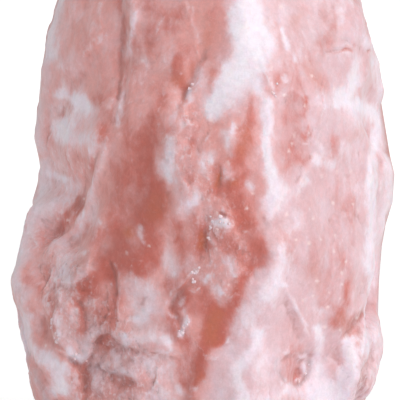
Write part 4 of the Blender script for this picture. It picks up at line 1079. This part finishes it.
def carve(stone):
    noise.seed_set(lump["seed"])
    mesh = stone.data
    points = readArray(mesh.vertices, "co", 3) / mm
    normals = readArray(mesh.vertices, "normal", 3)
    broad = neighbourMean(mesh, normals, lump["broadRounds"])
    broad /= np.linalg.norm(broad, axis=1)[:, None]
    shares = sideShares(points, broad)
    seen = asSeen(points)

    def natural(shape, name):  # one layer of noise
        tall, *settings = lump[name]
        return tall * shape(points, *settings)

    broken = brokenGround(points, shares, lump["brokenElsewhere"]) + natural(clouds, "patches")
    broken = np.clip(broken, lump["leastBroken"], 1)
    rise = broken * (natural(scoops, "bigScoops") + natural(scoops, "smallScoops"))
    rise += carvedRelief(points, shares)
    addLayer(mesh, "rise", rise)
    height = natural(clouds, "waves") + (0.3 + broken) * natural(clouds, "pimples")
    height += broken * natural(scoops, "fineScoops") + rise
    inView = np.maximum(nearOutline(points), shares["front"])
    for tall, line in swells:
        away, width = strokeReach(seen, line)[:2]
        height += tall * np.exp(-(away / width) ** 2) * inView
    height *= smoothStep(*lump["carvedFrom"], points[:, 2])
    points += normals * height[:, None]
    low, high = (np.array(corner) / mm for corner in cadBox)
    points = np.clip(points, low + lump["boxMargin"], high - lump["boxMargin"])
    foot = (broad[:, 2] < lump["footFacing"]) & (points[:, 2] < lump["footHeight"])
    points[foot | (points[:, 2] < lump["footSnap"]), 2] = 0
    mesh.vertices.foreach_set("co", (points * mm).ravel())
    mesh.update()
    mesh.polygons.foreach_set("use_smooth", np.ones(len(mesh.polygons), dtype=bool))
    return shares


def addLayer(mesh, name, values):
    layer = mesh.attributes.new(name, "FLOAT", "POINT")
    layer.data.foreach_set("value", values)


# natural cover under each drawing: strength, the noise it lies between, and that noise's size, octaves,
# place and upright stretch
underlay = {
    "milk": (0.45, 0.15, 0.55, 13, 4, 21.3, 1.7),
    "amber": (0.6, 0.05, 0.5, 15, 4, 33.8, 1.9),
    "pale": (0.25, 0.0, 0.6, 30, 3, 12.6, 1.3),
    "frost": (0.15, 0.0, 0.6, 18, 3, 41.5, 1.3),
    "deep": (0.4, 0.0, 0.6, 22, 3, 52.9, 1.4),
    "orange": (0.25, 0.1, 0.6, 12, 3, 64.2, 1.4),
}
drawings = {"milk": milk, "amber": amber, "pale": pale, "frost": frost, "deep": deep, "orange": orange}


def paint(stone, shares):
    mesh = stone.data
    points = readArray(mesh.vertices, "co", 3) / mm
    normals = readArray(mesh.vertices, "normal", 3)
    evenness = (lump["cell"] / neighbourGap(mesh, points)) ** 2
    crest = 0.5
    for rounds, amount in lump["crest"]:
        crest += amount * ((points - neighbourMean(mesh, points, rounds)) * normals).sum(axis=1) * evenness
    addLayer(mesh, "crest", np.clip(crest, 0, 1))
    flats = flatViews(points)
    warp = wobble(points, "warp")
    for name, drawing in drawings.items():
        strength, low, high, *cloud = underlay[name]
        ground = strength * smoothStep(low, high, clouds(points, *cloud))
        ground *= 1 - lump["bareFront"] * shares["front"]
        cover = sum(shares[side] * drawn(flats[side] + warp, drawing[side]) for side in flats)
        addLayer(mesh, name, 1 - (1 - cover) * (1 - ground))
    speckled = drawn(flats["front"], [(*lump["speck"], [spot]) for spot in specks], 1)
    addLayer(mesh, "speck", speckled * shares["front"])
    addLayer(mesh, "broken", brokenGround(points, shares, 0.5))
    addLayer(mesh, "grown", shares["front"] * drawn(flats["front"] + warp * 0.5, crystalGround, 1))


# the salt's colours (linear) and finish, sizes in mm unless a note says otherwise
salt = {
    "deepPink": (0.86, 0.43, 0.41),
    "lightPink": (0.81, 0.57, 0.615),
    "amber": (0.64, 0.155, 0.115),
    "orange": (0.68, 0.19, 0.105),
    "speck": (0.95, 0.74, 0.74),
    "crease": (0.48, 0.18, 0.155),
    "milk": (0.95, 0.84, 0.92),
    "milkShade": (0.90, 0.75, 0.84),
    "frost": (0.85, 0.69, 0.74),
    "pitting": 0.22,       # how dark the fine pits are
    "sheen": 0.25,         # pale bloom towards the outline
    "sheenRoughness": 0.5,
    "roughness": (0.34, 0.55),
    "bumpStrength": 0.5,
    "bumpHeight": 0.5,
    "subsurface": 0.6,
    "subsurfaceScale": 1.4,
    "subsurfaceRadius": (1.0, 0.55, 0.45),
    "refraction": 1.54,    # halite
}

# where the salt's noise is read: shift in m, upright scale
readings = {"even": (0, 0, 0, 1), "upright": (0, 0, 0, 0.62), "shifted": (0.31, 0.17, 0.05, 0.6)}

# the noise: reading, size, detail, roughness, distortion
saltNoise = {
    "milk": ("upright", 3.4, 8, 0.7, 0.5),
    "amber": ("shifted", 6, 7, 0.66, 0.6),
    "mottle": ("even", 2.2, 4, 0.62, 0.4),
    "broad": ("shifted", 14, 5, 0.6, 0.6),
    "blotches": ("upright", 8, 6, 0.6, 0.8),
    "grain": ("even", 0.7, 3, 0.6, 0),
    "fine": ("upright", 1.3, 4, 0.6, 0.3),
}

# painted covers broken up by noise: which noise, how far it frays the edge, cover that shows from, to
saltMasks = {
    "pale": ("broad", 0.8, 0.05, 0.95),
    "amber": ("amber", 1.2, 0, 1),
    "milk": ("milk", 1.3, 0, 1),
    "frost": ("broad", 0.9, 0.05, 0.95),
    "orange": ("blotches", 1, 0, 1),
}

# how noise and relief turn into shares, with soft ends: from, to, share there, share there
saltSpans = {
    "warmth": (0.4, 0.62, 0.2, 0),
    "veil": (0.42, 0.72, 0, 0.55),
    "dust": (0.52, 0.68, 0, 0.5),
    "fineEdge": (0.6, 1, 0, 0.45),
    "carvedEdge": (0.3, 1.6, 0, 0.5),
    "brokenEdge": (0.35, 0.6, 0.3, 1),
    "fineCrease": (0.42, 0, 0, 0.4),
    "carvedCrease": (-0.25, -1.4, 0, 0.6),
    "brokenCrease": (0.3, 0.55, 0.4, 1),
    "milkShade": (0.4, 0.65, 0, 0.6),
    "mottle": (0.3, 0.7, 0.96, 1.04),
    "grain": (0.3, 0.7, 0.97, 1.03),
    "pits": (0.42, 0.3, 0, 1),
    "deep": (0, 1, 1, 0.72),  # the thickest salt still gives back this much light
}


def newMaterial(name):
    material = bpy.data.materials.new(name)
    material.use_nodes = True
    return material, material.node_tree, material.node_tree.nodes["Principled BSDF"]


def newGroup(name, kind, inputs, output):  # inputs and output: label, type of socket, default
    group = bpy.data.node_groups.new(name, kind)
    for label, socketKind, value in inputs:
        socket = group.interface.new_socket(label, in_out="INPUT", socket_type="NodeSocket" + socketKind)
        if value is not None:
            socket.default_value = value
    label, socketKind = output
    group.interface.new_socket(label, in_out="OUTPUT", socket_type="NodeSocket" + socketKind)
    return group, group.nodes.new("NodeGroupInput").outputs, group.nodes.new("NodeGroupOutput").inputs


def setSocket(tree, socket, value):  # to a value, a colour or another node's output
    if isinstance(value, bpy.types.NodeSocket):
        tree.links.new(value, socket)
    else:
        socket.default_value = (*value, 1) if socket.type == "RGBA" else value


def addNode(tree, kind, inputs=None, **settings):
    node = tree.nodes.new(kind)
    for name, value in settings.items():
        setattr(node, name, value)
    for name, value in (inputs or {}).items():
        setSocket(tree, node.inputs[name], value)
    return node


def addMath(tree, operation, first, second):
    return addNode(tree, "ShaderNodeMath", {0: first, 1: second}, operation=operation).outputs[0]


def addMix(tree, share, first, second):
    return addNode(tree, "ShaderNodeMix", {0: share, 6: first, 7: second}, data_type="RGBA").outputs[2]


def addCloud(tree, coordinates, size, detail, roughness, distortion):
    return addNode(tree, "ShaderNodeTexNoise", {
        "Vector": coordinates, "Scale": 1 / (size * mm), "Detail": detail, "Roughness": roughness,
        "Distortion": distortion,
    }).outputs["Fac"]


def frayedMask():  # a painted cover with its edge broken up by fine noise
    group, given, made = newGroup("frayedMask", "ShaderNodeTree", (
        ("Cover", "Float", 0), ("Noise", "Float", 0.5), ("Fray", "Float", 0.3), ("Low", "Float", 0.1),
        ("High", "Float", 0.9),
    ), ("Mask", "Float"))
    cover = given["Cover"]
    rim = addMath(group, "MULTIPLY", cover, addMath(group, "SUBTRACT", 1, cover))
    reach = addMath(group, "ADD", addMath(group, "MULTIPLY", rim, 3.2), 0.2)
    shift = addMath(group, "MULTIPLY", addMath(group, "SUBTRACT", given["Noise"], 0.5), given["Fray"])
    frayed = addMath(group, "ADD", cover, addMath(group, "MULTIPLY", shift, reach))
    ends = {"Value": frayed, "From Min": given["Low"], "From Max": given["High"]}
    ramp = addNode(group, "ShaderNodeMapRange", ends, interpolation_type="SMOOTHSTEP")
    group.links.new(ramp.outputs[0], made["Mask"])
    return group


def saltMaterial():
    material, tree, shader = newMaterial("pink salt")
    place = addNode(tree, "ShaderNodeTexCoord").outputs["Object"]

    def reading(x, y, z, upright):
        settings = {"Vector": place, "Location": (x, y, z), "Scale": (1, 1, upright)}
        return addNode(tree, "ShaderNodeMapping", settings).outputs[0]

    def layerValue(name):
        return addNode(tree, "ShaderNodeAttribute", attribute_name=name).outputs["Fac"]

    def mask(name, noiseName, fray, low, high):
        given = {"Cover": layerValue(name), "Noise": cloud[noiseName]}
        given.update({"Fray": fray, "Low": low, "High": high})
        return addNode(tree, "ShaderNodeGroup", given, node_tree=frayed).outputs["Mask"]

    def span(name, value):
        ends = dict(zip(("From Min", "From Max", "To Min", "To Max"), saltSpans[name]), Value=value)
        return addNode(tree, "ShaderNodeMapRange", ends, interpolation_type="SMOOTHSTEP").outputs[0]

    def times(first, second):
        return addMath(tree, "MULTIPLY", first, second)

    def plus(first, second):
        return addMath(tree, "ADD", first, second)

    frayed = frayedMask()
    spots = {name: reading(*settings) for name, settings in readings.items()}
    cloud = {name: addCloud(tree, spots[spot], *settings) for name, (spot, *settings) in saltNoise.items()}
    masks = {name: mask(name, *settings) for name, settings in saltMasks.items()}
    broken = layerValue("broken")
    crest = layerValue("crest")
    rise = layerValue("rise")

    # pale veils and dust stay off the amber, edges catch light and creases are dark
    bareOfAmber = addMath(tree, "SUBTRACT", 1, times(masks["amber"], 0.7))
    veil = times(span("veil", cloud["blotches"]), bareOfAmber)
    dust = times(span("dust", cloud["fine"]), plus(times(broken, 0.8), 0.2))
    dust = times(dust, bareOfAmber)
    edge = addMath(tree, "MAXIMUM", span("fineEdge", crest), span("carvedEdge", rise))
    edge = times(edge, span("brokenEdge", cloud["milk"]))
    crease = addMath(tree, "MAXIMUM", span("fineCrease", crest), span("carvedCrease", rise))
    crease = times(crease, span("brokenCrease", cloud["amber"]))

    milkTint = addMix(tree, span("milkShade", cloud["blotches"]), salt["milk"], salt["milkShade"])
    colour = salt["deepPink"]
    for share, tint in (
        (masks["pale"], salt["lightPink"]),
        (span("warmth", cloud["broad"]), salt["amber"]),
        (masks["frost"], salt["frost"]),
        (veil, salt["lightPink"]),
        (masks["orange"], salt["orange"]),
        (masks["amber"], addMix(tree, masks["orange"], salt["amber"], salt["orange"])),
        (crease, salt["crease"]),
        (dust, salt["milk"]),
        (edge, salt["milk"]),
        (masks["milk"], milkTint),
        (layerValue("speck"), salt["speck"]),
    ):
        colour = addMix(tree, share, colour, tint)
    pitted = times(times(span("pits", cloud["fine"]), salt["pitting"]), broken)
    shade = times(span("mottle", cloud["mottle"]), span("grain", cloud["grain"]))
    shade = times(shade, addMath(tree, "SUBTRACT", 1, pitted))
    shade = times(shade, span("deep", layerValue("deep")))
    tint = addNode(tree, "ShaderNodeVectorMath", {0: colour, "Scale": shade}, operation="SCALE")
    glossy, matt = salt["roughness"]
    ends = {"Value": cloud["grain"], "From Min": 0.3, "From Max": 0.7, "To Min": glossy, "To Max": matt}
    gloss = addNode(tree, "ShaderNodeMapRange", ends)
    height = times(plus(cloud["mottle"], times(cloud["fine"], 0.8)), plus(times(broken, 1.2), 0.25))
    height = plus(height, times(cloud["grain"], 0.25))
    settings = {"Height": height, "Strength": salt["bumpStrength"], "Distance": salt["bumpHeight"] * mm}
    bump = addNode(tree, "ShaderNodeBump", settings)
    for name, value in {
        "Base Color": tint.outputs[0], "Roughness": gloss.outputs[0], "Normal": bump.outputs[0],
        "Subsurface Weight": salt["subsurface"], "Subsurface Radius": salt["subsurfaceRadius"],
        "Subsurface Scale": salt["subsurfaceScale"] * mm, "IOR": salt["refraction"],
        "Sheen Weight": salt["sheen"], "Sheen Roughness": salt["sheenRoughness"],
    }.items():
        setSocket(tree, shader.inputs[name], value)
    return material


# grown crystals: small rounded cubes set into the ground, sizes in mm
crystals = {
    "colour": (0.92, 0.61, 0.61),
    "roughness": 0.22,
    "perSquareCm": 90,
    "gathering": 1.5,      # higher keeps them closer to the middle of the drawn ground
    "smallest": 0.5,
    "largest": 1.3,
    "rounding": 0.45,
    "ballSize": 0.62,      # radius of the ball that rounds a cube of side 1
    "turns": (0.5, 0.5, 0.9),
    "flattest": (0.7, 0.7, 0.6),
    "fullest": (1.25, 1.25, 1.1),
    "seed": 7,
}


def crystalMaterial():
    material, tree, shader = newMaterial("grown salt")
    place = addNode(tree, "ShaderNodeTexCoord").outputs["Object"]
    mottle = addCloud(tree, place, *saltNoise["mottle"][1:])
    share = addNode(tree, "ShaderNodeMapRange", {"Value": mottle, "From Min": 0.35, "From Max": 0.65})
    colour = addMix(tree, share.outputs[0], crystals["colour"], salt["milk"])
    for name, value in (
        ("Base Color", colour), ("Roughness", crystals["roughness"]), ("IOR", salt["refraction"]),
    ):
        setSocket(tree, shader.inputs[name], value)
    return material


def crystalTree(material):
    tree, given, made = newGroup("grownCrystals", "GeometryNodeTree", (
        ("Ground", "Geometry", None), ("Density", "Float", crystals["perSquareCm"] * 1e4),
        ("Smallest", "Float", crystals["smallest"] * mm), ("Largest", "Float", crystals["largest"] * mm),
        ("Seed", "Int", crystals["seed"]),
    ), ("Crystals", "Geometry"))

    def add(kind, inputs=None, **settings):
        return addNode(tree, kind, inputs, **settings)

    grown = add("GeometryNodeInputNamedAttribute", {"Name": "grown"}, data_type="FLOAT").outputs[0]
    share = addMath(tree, "POWER", grown, crystals["gathering"])
    density = addMath(tree, "MULTIPLY", share, given["Density"])
    spread = add("GeometryNodeDistributePointsOnFaces", {
        "Mesh": given["Ground"], "Density": density, "Seed": given["Seed"],
    })
    turn = add("FunctionNodeRandomValue", {"Max": crystals["turns"]}, data_type="FLOAT_VECTOR")
    tilt = add("FunctionNodeRotateRotation", {0: spread.outputs["Rotation"], 1: turn.outputs[0]})
    size = add("FunctionNodeRandomValue", {2: given["Smallest"], 3: given["Largest"]}, data_type="FLOAT")
    ends = {"Min": crystals["flattest"], "Max": crystals["fullest"]}
    squash = add("FunctionNodeRandomValue", ends, data_type="FLOAT_VECTOR")
    girth = add("ShaderNodeVectorMath", {0: squash.outputs[0], "Scale": size.outputs[1]}, operation="SCALE")

    cube = add("GeometryNodeMeshCube", {"Size": (1, 1, 1), **{"Vertices " + axis: 3 for axis in "XYZ"}})
    spot = add("GeometryNodeInputPosition").outputs[0]
    outward = add("ShaderNodeVectorMath", {0: spot}, operation="NORMALIZE").outputs[0]
    ball = add("ShaderNodeVectorMath", {0: outward, "Scale": crystals["ballSize"]}, operation="SCALE")
    corners = {0: crystals["rounding"], 4: spot, 5: ball.outputs[0]}
    rounded = add("ShaderNodeMix", corners, data_type="VECTOR")
    rounding = {"Geometry": cube.outputs["Mesh"], "Position": rounded.outputs[1]}
    grain = add("GeometryNodeSetPosition", rounding)
    smooth = add("GeometryNodeSetShadeSmooth", {"Geometry": grain.outputs[0]})
    place = add("GeometryNodeInstanceOnPoints", {
        "Points": spread.outputs["Points"], "Instance": smooth.outputs[0],
        "Rotation": tilt.outputs[0], "Scale": girth.outputs[0],
    })
    real = add("GeometryNodeRealizeInstances", {"Geometry": place.outputs[0]})
    finish = add("GeometryNodeSetMaterial", {"Geometry": real.outputs[0], "Material": material})
    tree.links.new(finish.outputs[0], made[0])
    return tree


def growCrystals(stone, material):
    item = bpy.data.objects.new("salt_crystals", stone.data.copy())
    bpy.context.scene.collection.objects.link(item)
    item.modifiers.new("grow", "NODES").node_group = crystalTree(material)
    evaluated(item)
    item.data.materials.clear()
    item.data.materials.append(material)
    item.data.polygons.foreach_set("material_index", np.zeros(len(item.data.polygons), dtype=int))
    return item


stone = makeBody()
print("stone remeshed:", len(stone.data.vertices), "points")
shares = carve(stone)
paint(stone, shares)
stone.data.materials.clear()
stone.data.materials.append(saltMaterial())
print("stone carved and painted, triangles:", countTriangles(stone))
grown = growCrystals(stone, crystalMaterial())
print("crystals grown, triangles:", countTriangles(grown))
for piece in (stone, grown):
    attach(piece, "root")
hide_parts(lump["cadNode"])


# floor, light and camera
studio = {
    "sunStrength": 1.55,
    "sunSoftness": 55,     # degrees
    "sunFrom": (0.62, -0.5, 0.6),
    "ambient": 0.53,
    "ambientLean": 0.05,   # how much brighter the sun's side of the room is
    "backdrop": 1.1,       # what the camera sees of the room
    "floorColour": (0.92, 0.92, 0.92),
    "floorLift": 0.3,
    "floorReach": 20,      # m
    "floorDrop": 0.2,      # mm
}


def makeFloor():
    form = bmesh.new()
    bmesh.ops.create_grid(form, x_segments=1, y_segments=1, size=studio["floorReach"])
    bmesh.ops.translate(form, verts=form.verts, vec=(0, 0, -studio["floorDrop"] * mm))
    mesh = bpy.data.meshes.new("floor")
    form.to_mesh(mesh)
    form.free()
    item = bpy.data.objects.new("floor", mesh)
    bpy.context.scene.collection.objects.link(item)
    material, tree, shader = newMaterial("pale floor")
    path = addNode(tree, "ShaderNodeLightPath")
    lift = addMath(tree, "MULTIPLY", path.outputs["Is Camera Ray"], studio["floorLift"])
    for name, value in (
        ("Base Color", studio["floorColour"]), ("Roughness", 0.9), ("Emission Color", (1, 1, 1)),
        ("Emission Strength", lift),
    ):
        setSocket(tree, shader.inputs[name], value)
    mesh.materials.append(material)


def addSun():
    data = bpy.data.lights.new("softSun", "SUN")
    data.energy = studio["sunStrength"]
    data.angle = math.radians(studio["sunSoftness"])
    item = bpy.data.objects.new("softSun", data)
    item.location = Vector(studio["sunFrom"]) * 2
    item.rotation_euler = Vector(studio["sunFrom"]).to_track_quat("Z", "Y").to_euler()
    bpy.context.scene.collection.objects.link(item)


def makeWorld():
    world = bpy.data.worlds.new("studio")
    bpy.context.scene.world = world
    world.use_nodes = True
    tree = world.node_tree
    background = tree.nodes["Background"]
    background.inputs["Color"].default_value = (1, 1, 1, 1)
    direction = addNode(tree, "ShaderNodeTexCoord").outputs["Generated"]
    facing = {0: direction, 1: studio["sunFrom"]}
    lean = addNode(tree, "ShaderNodeVectorMath", facing, operation="DOT_PRODUCT")
    light = addMath(tree, "MULTIPLY", lean.outputs["Value"], studio["ambientLean"])
    light = addMath(tree, "ADD", light, studio["ambient"])
    seen = addNode(tree, "ShaderNodeLightPath").outputs["Is Camera Ray"]
    strength = addNode(tree, "ShaderNodeMix", {0: seen, 2: light, 3: studio["backdrop"]}, data_type="FLOAT")
    tree.links.new(strength.outputs[0], background.inputs["Strength"])


def makeCamera():
    data = bpy.data.cameras.new("camera")
    data.sensor_width = view["sensorWidth"]
    data.lens = view["sensorWidth"] * view["distance"] / view["frameWidth"]
    data.clip_end = 100
    item = bpy.data.objects.new("camera", data)
    place = (view["across"], view["outlineDepth"] - view["distance"], view["height"])
    item.location = [value * mm for value in place]
    item.rotation_euler = (math.pi / 2, 0, 0)
    bpy.context.scene.collection.objects.link(item)
    bpy.context.scene.camera = item


makeFloor()
addSun()
makeWorld()
makeCamera()
bpy.context.scene.view_settings.view_transform = "Standard"
print("studio set")
